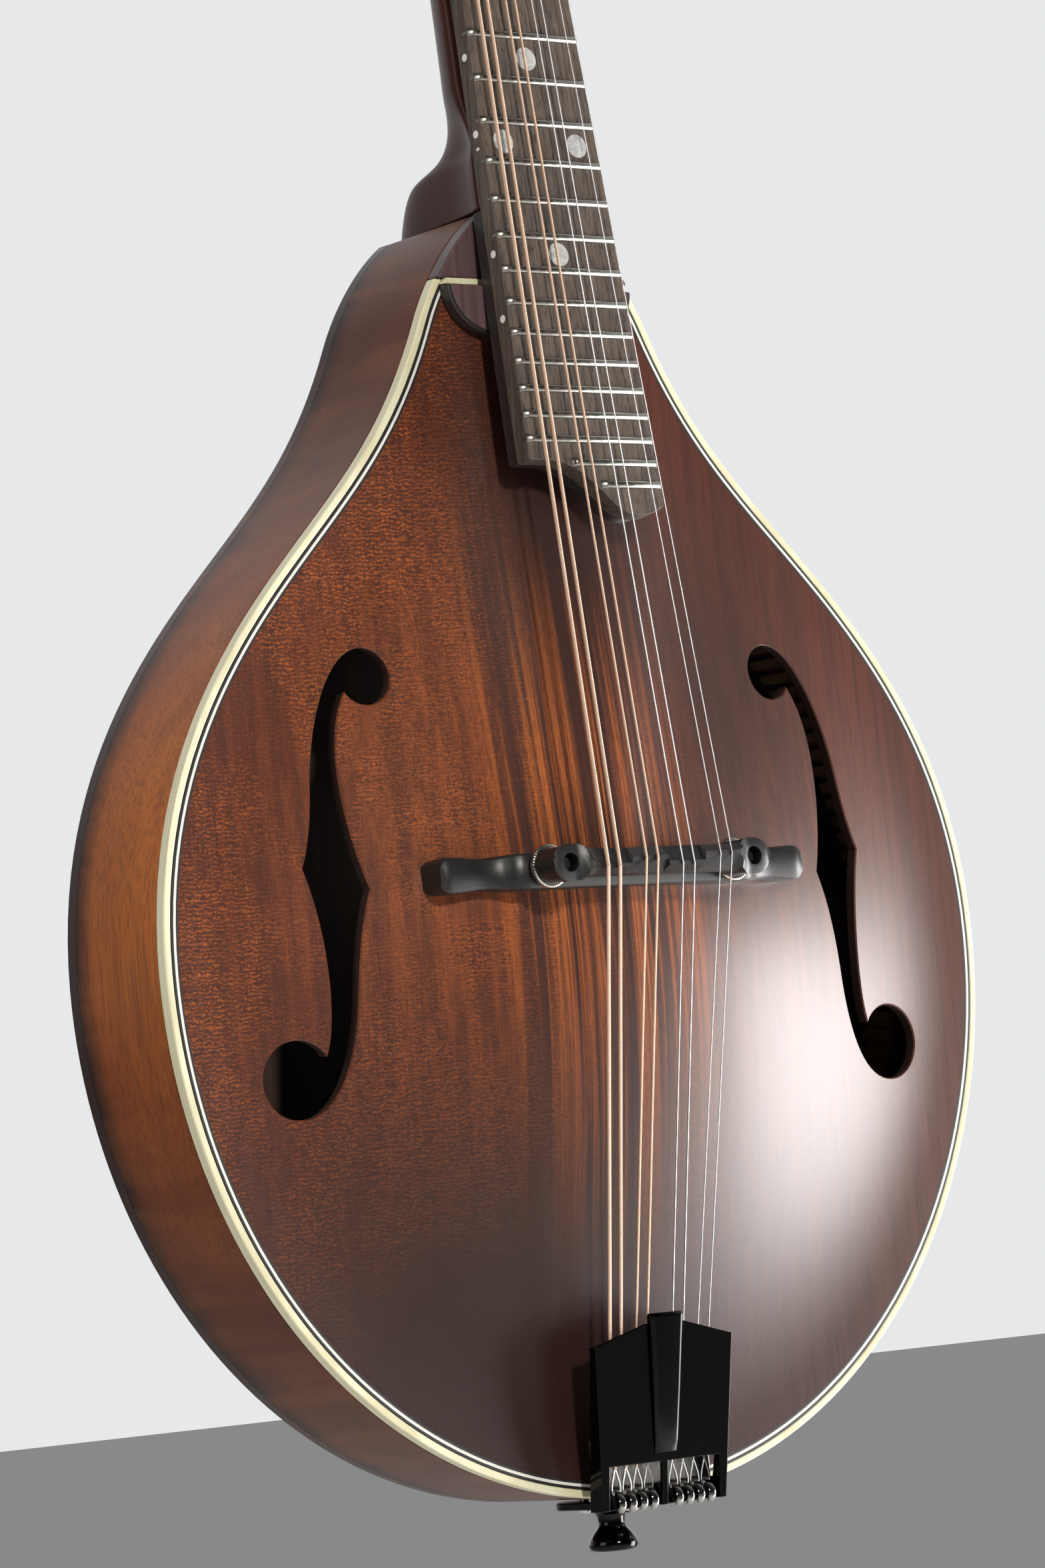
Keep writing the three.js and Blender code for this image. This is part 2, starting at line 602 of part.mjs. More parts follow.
for (const [index, y] of TAIL_SCREW_Y.entries()) {
  const profile = [[0, 0], [1.4, 2.5], [1.4, 11.2], [2.3, 11.2], [2.3, 12], [1.5, 12.7], [0, 12.7]];
  add(`tailpiece_screw_${index + 1}`, new THREE.LatheGeometry(
    profile.map(([r, h]) => new THREE.Vector2(r, h)), 8)
    .rotateX(-Math.PI / 2).translate(0, y, footZ[0] + 11.2 - 0.1), nickel);
}

const pinProfile = [
  [0, 0], [5.2, 0], [6, 0.9], [6.1, 2.4], [5, 4.2], [3.6, 5.6], [3.4, 8.4], [4.6, 10], [5.2, 10.7],
  [3, 10.7], [2.6, 26], [0, 26],
];
add('end_pin', new THREE.LatheGeometry(
  pinProfile.map(([r, h]) => new THREE.Vector2(r, h)), 20)
  .rotateX(Math.PI / 2).translate(0, PIN_Y, END_PIN_FACE_Z), blackNickel);

// ---------------------------------------------------------------- tuning machines

const plateY0 = HEAD_THICKNESS + GAP;
const plateY1 = plateY0 + PLATE_THICKNESS;
const wormY = plateY1 + WORM.lift;
const earInner = [POST.x - 5.8, POST.x - 4.4];
const earOuter = [POST.x + 4.2, POST.x + 5.6];

for (const [name, side] of sides) {
  const span = (range) => (side < 0 ? [-range[1], -range[0]] : range);
  const own = posts.filter((post) => post.side === side);
  const ears = own.flatMap(({ z }) => [earInner, earOuter].map((range) => box(
    span(range), [plateY1 - 0.2, wormY + 2.2], [z + WORM.offset - 2, z + WORM.offset + 2])));
  const shaftBores = own.map(({ z }) => new THREE.CylinderGeometry(WORM.bore, WORM.bore, 30, 10)
    .rotateZ(Math.PI / 2).translate(side * POST.x, wormY, z + WORM.offset));
  const sheet = box(span([POST.x - 5.8, POST.x + 5.6]), [plateY0, plateY1], [23, 117]);
  add(`tuner_plate_${name}`, cut(join(sheet, ...ears), ...shaftBores,
    ...own.map(({ x, z }) => rodY(POST.bore, x, z, 0, 30))), nickel, head);
}

function gearRing(y, twist) {
  const points = [];
  const pitchAngle = (2 * Math.PI) / GEAR.teeth;
  const tipAngle = GEAR.tipHalf / GEAR.tip;
  const at = (radius, angle) => new THREE.Vector3(
    radius * Math.sin(angle + twist), y, radius * Math.cos(angle + twist));
  for (let tooth = 0; tooth < GEAR.teeth; tooth += 1) {
    const middle = (tooth + 0.5) * pitchAngle;
    points.push(at(GEAR.root, middle - pitchAngle / 2));
    points.push(at(GEAR.tip, middle - tipAngle));
    points.push(at(GEAR.tip, middle + tipAngle));
  }
  return points;
}

const gearTwist = 0.0274;             // lets the teeth lean with the worm's thread
const gear = loft([
  gearRing(wormY - GEAR.half, -gearTwist), gearRing(wormY + GEAR.half, gearTwist)]);
const postGeometry = join(gear, rodY(POST.radius, 0, 0, POST.front, wormY + GEAR.half + 0.4));

// One right-hand thread, facing the gear at the middle of the worm.
function thread() {
  const rings = [];
  const stepsPerTurn = 11;
  for (let step = -10; step <= 10; step += 1) {
    const angle = (step / stepsPerTurn) * 2 * Math.PI;
    const x = (step / stepsPerTurn) * WORM.pitch;
    rings.push([[-0.65, 1], [-0.15, WORM.tip], [0.15, WORM.tip], [0.65, 1]]
      .map(([dx, radius]) => new THREE.Vector3(
        x + dx, radius * Math.sin(angle), -radius * Math.cos(angle))));
  }
  return loft(rings);
}

function ovalRing([x, radiusY, radiusZ]) {
  const count = 10;
  return Array.from({ length: count }, (_, i) => {
    const angle = (i / count) * 2 * Math.PI;
    return new THREE.Vector3(x, radiusY * Math.cos(angle), radiusZ * Math.sin(angle));
  });
}

const knobGeometry = join(loft([
  [-6.3, WORM.shaft, WORM.shaft], [11.6, WORM.shaft, WORM.shaft], [12, 2.2, 3], [13.6, 3.3, 6.2],
  [17.6, 3.9, 8], [22, 3.3, 7.2], [24.6, 1.6, 4.2],
].map(ovalRing)), thread());

posts.forEach(({ side, x, z }, index) => {
  const post = add(`tuner_post_${index + 1}`, postGeometry, nickel, head);
  post.position.set(x, 0, z);
  const knob = add(`tuner_knob_${index + 1}`, knobGeometry, pearl, head);
  knob.position.set(x, wormY, z + WORM.offset);
  if (side < 0) knob.rotation.z = Math.PI;
});

// ---------------------------------------------------------------- strings

// A path through its points in equal steps, so that each bend falls on a section.
class BentPath extends THREE.Curve {
  constructor(points) {
    super();
    this.points = points;
  }

  getPoint(t, target = new THREE.Vector3()) {
    const place = t * (this.points.length - 1);
    const i = Math.min(Math.floor(place), this.points.length - 2);
    return target.lerpVectors(this.points[i], this.points[i + 1], place - i);
  }

  getPointAt(u, target) {
    return this.getPoint(u, target);
  }

  getTangentAt(u, target = new THREE.Vector3()) {
    const i = Math.round(u * (this.points.length - 1));
    const before = this.points[Math.max(i - 1, 0)];
    const here = this.points[i];
    const after = this.points[Math.min(i + 1, this.points.length - 1)];
    const inward = here.clone().sub(before).normalize();
    const outward = after.clone().sub(here).normalize();
    return target.addVectors(inward, outward).normalize();
  }
}

const section = (radius) => polygon(Array.from({ length: 6 }, (_, i) => [
  radius * Math.cos((i / 6) * 2 * Math.PI), radius * Math.sin((i / 6) * 2 * Math.PI)]));

STRINGS.forEach(({ saddleX, nutX, radius, post: [side, k] }, index) => {
  const hookX = HOOK_X[index];
  const underEdge = new THREE.Vector3(THREE.MathUtils.lerp(hookX, saddleX, 0.25),
    tailpieceFace(FACE_TOP_Z) + TAILPIECE.sheet + 0.25 + radius, FACE_TOP_Z);
  const onNut = new THREE.Vector3(nutX, nutTop - radius - GAP, SCALE_LENGTH + 0.4)
    .applyMatrix4(board.matrix);
  const atPost = new THREE.Vector3(
    side * (POST.x - POST.radius - radius - FIT), -8, POST.first + k * POST.spacing)
    .applyMatrix4(headMatrix);
  const path = new BentPath([
    new THREE.Vector3(hookX, hookBarY[0] - 0.6, -150.9),
    underEdge,
    new THREE.Vector3(saddleX, SADDLE.top - radius - GAP, SADDLE.z),
    onNut,
    atPost,
  ]);
  const wound = radius > 0.3;
  add(`string_${index + 1}`, new THREE.ExtrudeGeometry(section(radius), {
    steps: path.points.length - 1, extrudePath: path }), wound ? bronze : steel);
});

export default mandolin;
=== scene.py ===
from math import copysign, cos, exp, hypot, pi, sin, sqrt, tan

import bmesh
import bpy
import numpy as np
from mathutils import Matrix, Vector
from mathutils.geometry import delaunay_2d_cdt


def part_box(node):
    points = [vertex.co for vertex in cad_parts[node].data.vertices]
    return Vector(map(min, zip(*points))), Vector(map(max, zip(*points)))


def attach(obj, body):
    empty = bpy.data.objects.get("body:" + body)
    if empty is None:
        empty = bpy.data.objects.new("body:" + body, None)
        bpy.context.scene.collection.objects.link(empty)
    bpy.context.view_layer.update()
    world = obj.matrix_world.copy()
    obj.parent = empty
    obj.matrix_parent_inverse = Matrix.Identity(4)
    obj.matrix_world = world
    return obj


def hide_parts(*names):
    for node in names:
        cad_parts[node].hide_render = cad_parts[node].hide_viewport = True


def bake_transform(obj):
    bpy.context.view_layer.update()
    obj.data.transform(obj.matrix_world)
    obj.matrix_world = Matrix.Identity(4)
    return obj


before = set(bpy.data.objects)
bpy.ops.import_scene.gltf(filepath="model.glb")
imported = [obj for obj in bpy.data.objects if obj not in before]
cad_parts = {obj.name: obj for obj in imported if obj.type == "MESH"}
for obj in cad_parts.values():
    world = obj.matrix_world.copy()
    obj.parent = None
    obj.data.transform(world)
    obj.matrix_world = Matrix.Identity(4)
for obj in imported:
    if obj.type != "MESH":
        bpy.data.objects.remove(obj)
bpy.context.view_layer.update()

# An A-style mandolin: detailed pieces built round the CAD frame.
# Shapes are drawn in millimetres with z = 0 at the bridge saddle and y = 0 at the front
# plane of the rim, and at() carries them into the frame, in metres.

MM = 0.001
DEG = pi / 180

SCALE_LENGTH = 352.4
HALF_WIDTH = 127.1
BOUT_Z = -21
TAIL_Z = -155
SHOULDER_Z = 163.6
RIM_DEPTH = 41.3
FRONT_EDGE = 3.4
BACK_EDGE = 3.5
FRONT_ARCH = 15.5
BACK_ARCH = 13
RECURVE = 0.94                          # where the arch ends, as a share of the way to the rim
BINDING = 2.0
RIM_THICKNESS = 2.2
KERF_BLOCKS = 62                        # in each lining
PURFLING = (2.05, 2.65, 3.35, 3.95)     # edges of the black, white and black lines
CROSS_BINDING = (145.4, 147.0)
LOWEST, HIGHEST = TAIL_Z - 1, SHOULDER_Z + 1     # past both ends of the outline

BOARD_TILT = 6.46 * DEG
BOARD_PLANE_Y = -29.43
BOARD_THICKNESS = 5
BOARD_UNDER = BOARD_THICKNESS + 0.05
FRETS = 23
HEAD_TILT = 14 * DEG
HEAD_FOOT_Z = SCALE_LENGTH + 4.4
HEAD_THICKNESS = 13.5
OVERLAY = 1.6

POST_X = 19
POST_Z = [34 + 23 * k for k in range(4)]
WORM_OFFSET = 8.1
WORM_Y = HEAD_THICKNESS + 0.05 + 1.2 + 3.4
WORM_PITCH = 2.2

BRIDGE_Z = -2.1
SADDLE_Z = -1.3
SADDLE_TOP = -33.2
SADDLE_UNDER = -23.2
BRIDGE_POST_X = 28.8
THREAD_PITCH = 0.7
PIN_Y = 13.5

SIDES = (("bass", -1), ("treble", 1))

front_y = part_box("binding_treble")[0].y
saddle_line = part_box("binding_treble")[0].z - TAIL_Z * MM


def at(x, y, z):
    return Vector((x * MM, front_y + y * MM, saddle_line + z * MM))


def on_board(x, y, z):
    c, s = cos(BOARD_TILT), sin(BOARD_TILT)
    return at(x, BOARD_PLANE_Y + y * c + z * s, z * c - y * s)


def on_head(x, y, z):
    c, s = cos(HEAD_TILT), sin(HEAD_TILT)
    return on_board(x, BOARD_UNDER + y * c + z * s, HEAD_FOOT_Z + z * c - y * s)


# ---------------------------------------------------------------- camera, floor and light

def placed(name, data):
    obj = bpy.data.objects.new(name, data)
    bpy.context.scene.collection.objects.link(obj)
    return obj


def aim_camera():
    """The photograph's viewpoint: low, from the bass side, through a long lens."""
    data = bpy.data.cameras.new("Camera")
    data.lens = 124.15
    data.sensor_width = 36
    camera = placed("Camera", data)
    right = (0.78894849, -0.60758285, -0.09166981)
    up = (0.02039391, -0.12321341, 0.99217062)
    back = (-0.61412081, -0.78464102, -0.08481804)
    turn = Matrix((right, up, back)).transposed()
    camera.matrix_world = Matrix.Translation(at(-833.16, -1042.65, -91.56)) @ turn.to_4x4()
    bpy.context.scene.camera = camera


def area_light(name, place, size, power, color):
    """A soft box aimed at the middle of the instrument."""
    data = bpy.data.lights.new(name, "AREA")
    data.shape = "RECTANGLE"
    data.size, data.size_y = size
    data.energy, data.color = power, color
    lamp = placed(name, data)
    lamp.location = place
    toward = Vector((0, 0, 0.2)) - Vector(place)
    lamp.rotation_euler = toward.to_track_quat("-Z", "Y").to_euler()
    lamp.visible_camera = False


def light_stage():
    """A pale wall of light behind and a dim room in front, so that metal reflects the dark side."""
    world = bpy.data.worlds.new("World")
    bpy.context.scene.world = world
    world.use_nodes = True
    nodes, links = world.node_tree.nodes, world.node_tree.links
    depth = nodes.new("ShaderNodeVectorMath")
    depth.operation = "DOT_PRODUCT"
    depth.inputs[1].default_value = (0.62, 0.78, 0.0)
    ramp = nodes.new("ShaderNodeValToRGB")
    stops = ((0, (0.038, 0.038, 0.04, 1)), (0.62, (0.8, 0.81, 0.82, 1)))
    for element, (position, color) in zip(ramp.color_ramp.elements, stops):
        element.position, element.color = position, color
    links.new(nodes.new("ShaderNodeTexCoord").outputs["Generated"], depth.inputs[0])
    links.new(depth.outputs["Value"], ramp.inputs[0])
    links.new(ramp.outputs[0], nodes["Background"].inputs["Color"])
    area_light("Key", (-0.46, -2.42, 1.08), (0.2, 0.2), 46, (1, 0.96, 0.9))
    area_light("Side", (1.85, -0.74, -0.28), (0.95, 1.1), 60, (1, 0.99, 0.98))
    area_light("Fill", (-1.9, 0.0, 0.75), (0.9, 1.4), 12, (1, 0.96, 0.9))
    bpy.context.scene.view_settings.view_transform = "Standard"


def lay_floor():
    half, height = 25, -0.8
    mesh = bpy.data.meshes.new("Floor")
    corners = [(-half, -half), (half, -half), (half, half), (-half, half)]
    mesh.from_pydata([(x, y, height) for x, y in corners], [], [(0, 1, 2, 3)])
    mesh.materials.append(plain("Floor", (0.8, 0.8, 0.79), 0.85))
    placed("Floor", mesh)


# ---------------------------------------------------------------- material nodes

class Tree:
    """Adds nodes to a material: a socket given as a value is linked, anything else is set."""

    def __init__(self, name):
        self.material = bpy.data.materials.new(name)
        self.material.use_nodes = True
        self.tree = self.material.node_tree
        self.shader = self.tree.nodes["Principled BSDF"]
        self.place = self.add("TexCoord").outputs["Object"]

    def add(self, kind, values=(), **settings):
        node = self.tree.nodes.new("ShaderNode" + kind)
        for key, value in settings.items():
            setattr(node, key, value)
        for key, value in dict(values).items():
            self.set(node.inputs[key], value)
        return node

    def set(self, socket, value):
        if isinstance(value, bpy.types.NodeSocket):
            self.tree.links.new(value, socket)
        elif isinstance(value, tuple) and len(value) == 3 and socket.type == "RGBA":
            socket.default_value = (*value, 1)
        else:
            socket.default_value = value

    def finish(self, color, roughness, **values):
        """The shader's inputs; the finished material."""
        for key, value in {"Base_Color": color, "Roughness": roughness, **values}.items():
            self.set(self.shader.inputs[key.replace("_", " ")], value)
        return self.material

    def math(self, operation, *values):
        return self.add("Math", dict(enumerate(values)), operation=operation).outputs[0]

    def times(self, *factors):
        product = factors[0]
        for factor in factors[1:]:
            product = self.math("MULTIPLY", product, factor)
        return product

    def rough(self, cloud, spread, least):
        return self.math("MULTIPLY_ADD", cloud, spread, least)

    def mix(self, factor, a, b):
        return self.add("Mix", {0: factor, 6: a, 7: b}, data_type="RGBA").outputs[2]

    def layers(self, base, *coats):
        """Colours laid over a base, each where its factor's ramp lets it through."""
        for factor, low, high, color in coats:
            base = self.mix(self.ramp(factor, low, high), base, color)
        return base

    def scaled(self, scale, offset=(0, 0, 0), vector=None):
        return self.add("Mapping", {
            "Vector": vector or self.place, "Scale": scale, "Location": offset}).outputs[0]

    def noise(self, scale, detail=3, distortion=0, vector=None):
        return self.add("TexNoise", {
            "Vector": self.scaled(scale, vector=vector), "Scale": 1, "Detail": detail,
            "Distortion": distortion}).outputs["Fac"]

    def grain(self, along, across, seed):
        """Fine pores and broad bands, drawn out along z."""
        pores = self.noise((across, across, along), 6, vector=self.scaled((1, 1, 1), seed))
        bands = self.noise((across / 9, across / 9, along / 4), 3, 0.6, self.scaled((1, 1, 1), seed))
        return pores, bands

    def ramp(self, factor, *stops):
        node = self.add("ValToRGB", {"Fac": factor})
        elements = node.color_ramp.elements
        while len(elements) < len(stops):
            elements.new(0.5)
        for element, (position, color) in zip(elements, stops):
            element.position = position
            element.color = (*color, 1) if isinstance(color, tuple) else (color, color, color, 1)
        return node.outputs["Color"]

    def axis(self, name):
        return self.add("SeparateXYZ", {0: self.place}).outputs[name]

    def span(self, name, low, high):
        """0 to 1 between two places along an axis."""
        return self.add("MapRange", {
            "Value": self.axis(name), "From Min": low, "From Max": high}).outputs[0]

    def bump(self, height, strength=0.1, distance=0.00008):
        node = self.add("Bump", {"Height": height, "Strength": strength, "Distance": distance})
        self.set(self.shader.inputs["Normal"], node.outputs[0])

    def ball(self, centre, radii):
        """How far a point is from a centre, in radii: 1 on the ellipsoid's skin."""
        moved = self.add("VectorMath", {0: self.place, 1: tuple(at(*centre))}, operation="SUBTRACT")
        shares = self.add("VectorMath", {0: moved.outputs[0], 1: tuple(MM * r for r in radii)},
                          operation="DIVIDE")
        return self.add("VectorMath", {0: shares.outputs[0]}, operation="LENGTH").outputs["Value"]


def plain(name, color, roughness):
    tree = Tree(name)
    cloud = tree.noise((3, 3, 3), 2)
    return tree.finish(tree.mix(cloud, color, tuple(0.94 * c for c in color)), roughness)


def top_wood():
    """Red-brown stain; a rippled figure on the bass side, straight streaks under the strings; darker
    patches, one of them a painted shadow of the board's end.
    """
    tree = Tree("Top_wood")
    pores, bands = tree.grain(14, 2600, (0.3, 0.1, 0.2))
    warm = tree.ball((-34, -14, 0), (70, 60, 100))
    rim = tree.ball((-8, -6, -20), (128, 80, 142))
    base = tree.layers(
        tree.ramp(warm, (0.15, (0.29, 0.074, 0.02)), (1, (0.14, 0.037, 0.017))),
        (rim, (0.6, 0), (1.04, 0.8), (0.085, 0.022, 0.012)),
        (bands, (0.4, 0), (0.58, 0.62), (0.06, 0.019, 0.013)))
    base = top_streaks(tree, top_figure(tree, base))
    flecks = tree.noise((3800, 3800, 60), 4)
    # Darker patches over the stain: the first, beside the board's end, is a painted shadow of the board
    # over darker stain; the others darken the lower part toward the tail, most on the bass side, and the
    # treble side above the bridge.
    shaded = (((-1, -12, 98), (44, 60, 80), 0.98), ((-36, -8, -136), (170, 60, 132), 0.98),
              ((44, -14, 44), (40, 60, 76), 0.7))
    base = tree.layers(
        base, *[(tree.ball(centre, radii), (0.3, depth), (1.1, 0), (0.024, 0.01, 0.0082))
                for centre, radii, depth in shaded],
        (flecks, (0.36, 0.38), (0.56, 0), (0.034, 0.012, 0.009)),
        (pores, (0.3, 0.25), (0.52, 0), (0.036, 0.013, 0.01)))
    tree.bump(pores)
    return tree.finish(base, tree.rough(flecks, 0.1, 0.26), Specular_IOR_Level=0.4,
                       Coat_Weight=0.3, Coat_Roughness=0.24)


def top_figure(tree, base):
    """Short wavy ripples, orange between dark lines, in patches that fade to the treble side."""
    ripple = tree.add("TexWave", {
        "Vector": tree.scaled((250, 250, 300)), "Scale": 1, "Distortion": 9, "Detail": 3,
        "Detail Scale": 1.5}, wave_type="BANDS", bands_direction="Z").outputs["Fac"]
    snake = tree.noise((620, 620, 760), 2, 2.2)
    patch = tree.ramp(tree.noise((38, 38, 26), 2, 1.2), (0.36, 0.22), (0.56, 1))
    share = tree.times(patch, tree.span("X", 0.045, -0.02))
    bright = tree.times(tree.ramp(snake, (0.42, 0.1), (0.58, 1)), tree.ramp(ripple, (0.35, 0.15), (0.8, 1)))
    dark = tree.times(tree.ramp(snake, (0.36, 1), (0.52, 0.15)), tree.ramp(ripple, (0.2, 1), (0.6, 0.2)))
    base = tree.mix(tree.times(dark, share, 0.8), base, (0.046, 0.015, 0.0105))
    return tree.mix(tree.times(bright, share, 0.8), base, (0.43, 0.112, 0.024))


def top_streaks(tree, base):
    """Straight dark and orange lines along the middle joint."""
    middle = tree.ramp(tree.ball((-6, -12, -2), (38, 60, 140)), (0.4, 1), (1, 0))
    broad = tree.noise((150, 12, 4), 2, 0.3)
    streaks = tree.noise((520, 24, 5))
    narrow = tree.noise((1500, 60, 10))
    for lines, low, high, color in (
            (broad, (0.5, 0), (0.62, 0.7), (0.42, 0.105, 0.022)),
            (broad, (0.36, 0.8), (0.48, 0), (0.04, 0.015, 0.012)),
            (streaks, (0.52, 0), (0.6, 0.9), (0.44, 0.12, 0.026)),
            (streaks, (0.42, 0.95), (0.51, 0), (0.046, 0.016, 0.012)),
            (narrow, (0.36, 0.7), (0.5, 0), (0.05, 0.017, 0.012))):
        base = tree.mix(tree.times(middle, tree.ramp(lines, low, high)), base, color)
    return base


def side_wood():
    """Amber in the middle of the bout, near black at the back's edge, dark to the neck and tail."""
    tree = Tree("Side_wood")
    pores, bands = tree.grain(30, 700, (0.7, 0.4, 0.9))
    glow = tree.ball((-122, 12, 10), (150, 44, 112))
    base = tree.layers(
        tree.ramp(glow, (0.2, (0.48, 0.135, 0.02)), (0.62, (0.25, 0.062, 0.014)),
                  (1, (0.105, 0.025, 0.01))),
        (tree.span("Y", front_y + 31 * MM, front_y + 38 * MM), (0, 0), (0.9, 0.94),
         (0.01, 0.006, 0.005)),
        (tree.noise((90, 18, 90), 3, 0.9), (0.42, 0), (0.64, 0.16), (0.43, 0.15, 0.034)),
        (tree.noise((1500, 1500, 55), 4), (0.34, 0.45), (0.55, 0), (0.06, 0.018, 0.009)),
        (bands, (0.36, 0.22), (0.6, 0), (0.05, 0.015, 0.009)))
    tree.bump(pores)
    return tree.finish(base, 0.32, Specular_IOR_Level=0.18)


def back_wood():
    """Flame that rises from the centre joint on both sides, under a dark sunburst edge."""
    tree = Tree("Back_wood")
    pores, bands = tree.grain(16, 1500, (0.6, 0.3, 0.7))
    burst = tree.ball((0, 54, -18), (120, 400, 150))
    base = tree.ramp(burst, (0.25, (0.3, 0.08, 0.018)), (0.68, (0.13, 0.032, 0.011)),
                     (1, (0.02, 0.008, 0.006)))
    side = tree.math("ABSOLUTE", tree.axis("X"))
    rise = tree.math("MULTIPLY_ADD", side, -0.28, tree.axis("Z"))
    matched = tree.add("CombineXYZ", {0: side, 2: rise}).outputs[0]
    flame = tree.noise((10, 1, 150), 3, 0.7, matched)
    lit = tree.times(tree.ramp(flame, (0.46, 0), (0.6, 0.6)), tree.ramp(burst, (0.6, 1), (1, 0)))
    base = tree.layers(
        tree.mix(lit, base, (0.43, 0.13, 0.026)), (flame, (0.36, 0.5), (0.48, 0), (0.05, 0.014, 0.008)),
        (bands, (0.36, 0.25), (0.6, 0), (0.05, 0.015, 0.009)),
        (tree.times(side, 1000), (0.15, 0.55), (0.45, 0), (0.02, 0.008, 0.006)))
    tree.bump(pores)
    return tree.finish(base, 0.3, Specular_IOR_Level=0.35)


def neck_wood():
    """A dark brown stain that lets a little red through in the middle of the neck."""
    tree = Tree("Neck_wood")
    pores, bands = tree.grain(16, 1500, (0.1, 0.6, 0.5))
    glow = tree.ball((0, 20, 262), (70, 60, 62))
    base = tree.layers(
        tree.ramp(glow, (0.15, (0.12, 0.026, 0.011)), (1.1, (0.052, 0.0135, 0.008))),
        (bands, (0.38, 0), (0.62, 0.35), (0.024, 0.01, 0.008)),
        (pores, (0.3, 0.3), (0.52, 0), (0.02, 0.009, 0.007)))
    tree.bump(pores)
    return tree.finish(base, 0.31, Specular_IOR_Level=0.15)


def stained_plate():
    """The plum-black satin of the flush face at the shoulder and of the riser's top."""
    tree = Tree("Stained_plate")
    pores, bands = tree.grain(14, 1900, (0.9, 0.2, 0.3))
    base = tree.layers(
        tree.ramp(bands, (0.36, (0.12, 0.07, 0.07)), (0.64, (0.062, 0.038, 0.04))),
        (pores, (0.3, 0.35), (0.52, 0), (0.02, 0.012, 0.012)))
    tree.bump(pores, 0.12)
    return tree.finish(base, 0.34, Specular_IOR_Level=0.5)


def bare_wood(name, light, dark, seed):
    tree = Tree(name)
    pores, bands = tree.grain(12, 900, seed)
    base = tree.layers(light, (bands, (0.35, 0), (0.65, 0.7), dark), (pores, (0.3, 0.4), (0.55, 0), dark))
    tree.bump(pores, 0.2, 0.0002)
    return tree.finish(base, 0.75)


def binding_plastic():
    """Cream celluloid with fine darker lines running along it."""
    tree = Tree("Binding_cream")
    base = tree.layers(
        (0.8, 0.78, 0.56), (tree.noise((120, 2400, 30), 2), (0.38, 0.5), (0.56, 0), (0.58, 0.5, 0.28)),
        (tree.noise((40, 40, 40), 2), (0.45, 0), (0.75, 0.2), (0.72, 0.65, 0.42)))
    return tree.finish(base, 0.32, Coat_Weight=0.2)


def rosewood():
    """Open-pored grey-brown, streaked along the board."""
    tree = Tree("Rosewood")
    streaks = tree.noise((900, 900, 16), 7)
    pores = tree.noise((2600, 2600, 70), 5)
    base = tree.layers(
        tree.ramp(streaks, (0.32, (0.032, 0.025, 0.02)), (0.66, (0.118, 0.088, 0.068))),
        (tree.noise((160, 160, 7), 3, 0.5), (0.4, 0), (0.68, 0.55), (0.13, 0.092, 0.068)),
        (pores, (0.34, 0.85), (0.47, 0), (0.018, 0.014, 0.012)))
    tree.bump(tree.ramp(pores, (0.34, 0), (0.5, 1)), 0.5, 0.0001)
    return tree.finish(base, tree.rough(pores, 0.18, 0.46), Specular_IOR_Level=0.35)


def ebony(name, color, roughness, grain=0.4):
    tree = Tree(name)
    streaks = tree.noise((30, 1800, 1800), 5)
    base = tree.layers(color, (streaks, (0.4, 0), (0.72, grain), tuple(2.6 * c for c in color)))
    tree.bump(streaks, 0.15, 0.0001)
    return tree.finish(base, tree.rough(tree.noise((260, 260, 260), 4), 0.16, roughness))


def metal(name, color, roughness, scratch=0.06):
    tree = Tree(name)
    smear = tree.noise((220, 220, 220), 5, 0.4)
    base = tree.layers(color, (smear, (0.4, 0), (0.72, 0.35), tuple(0.72 * c for c in color)))
    tree.bump(tree.noise((2400, 2400, 120)), 0.04, 0.00005)
    return tree.finish(base, tree.rough(smear, scratch * 2, roughness), Metallic=1)


def wound_string():
    """Bronze wire wrapped round a core: fine rings across the string."""
    tree = Tree("Wound_bronze")
    turns = tree.add("TexWave", {
        "Vector": tree.scaled((1, 1, 1)), "Scale": 1150}, wave_type="BANDS",
        bands_direction="Z", wave_profile="SIN").outputs["Fac"]
    # the colour darkens between the turns of wire: painted shade in the creases, laid over the bump from
    # the same bands
    base = tree.layers(tree.mix(turns, (0.42, 0.24, 0.16), (0.94, 0.7, 0.54)), (
        tree.noise((60, 60, 25)), (0.4, 0), (0.7, 0.3), (0.72, 0.5, 0.38)))
    tree.bump(turns, 0.5, 0.0001)
    return tree.finish(base, 0.36, Metallic=0.6)


def pearl(name, base, tint_a, tint_b):
    """Mother-of-pearl with soft clouds of colour."""
    tree = Tree(name)
    color = tree.layers(
        base, (tree.noise((420, 420, 420), 3, 1.5), (0.38, 0), (0.66, 1), tint_a),
        (tree.noise((210, 260, 330), 2, 2), (0.45, 0), (0.7, 0.8), tint_b))
    return tree.finish(color, 0.2, Coat_Weight=0.6, Coat_Roughness=0.05)


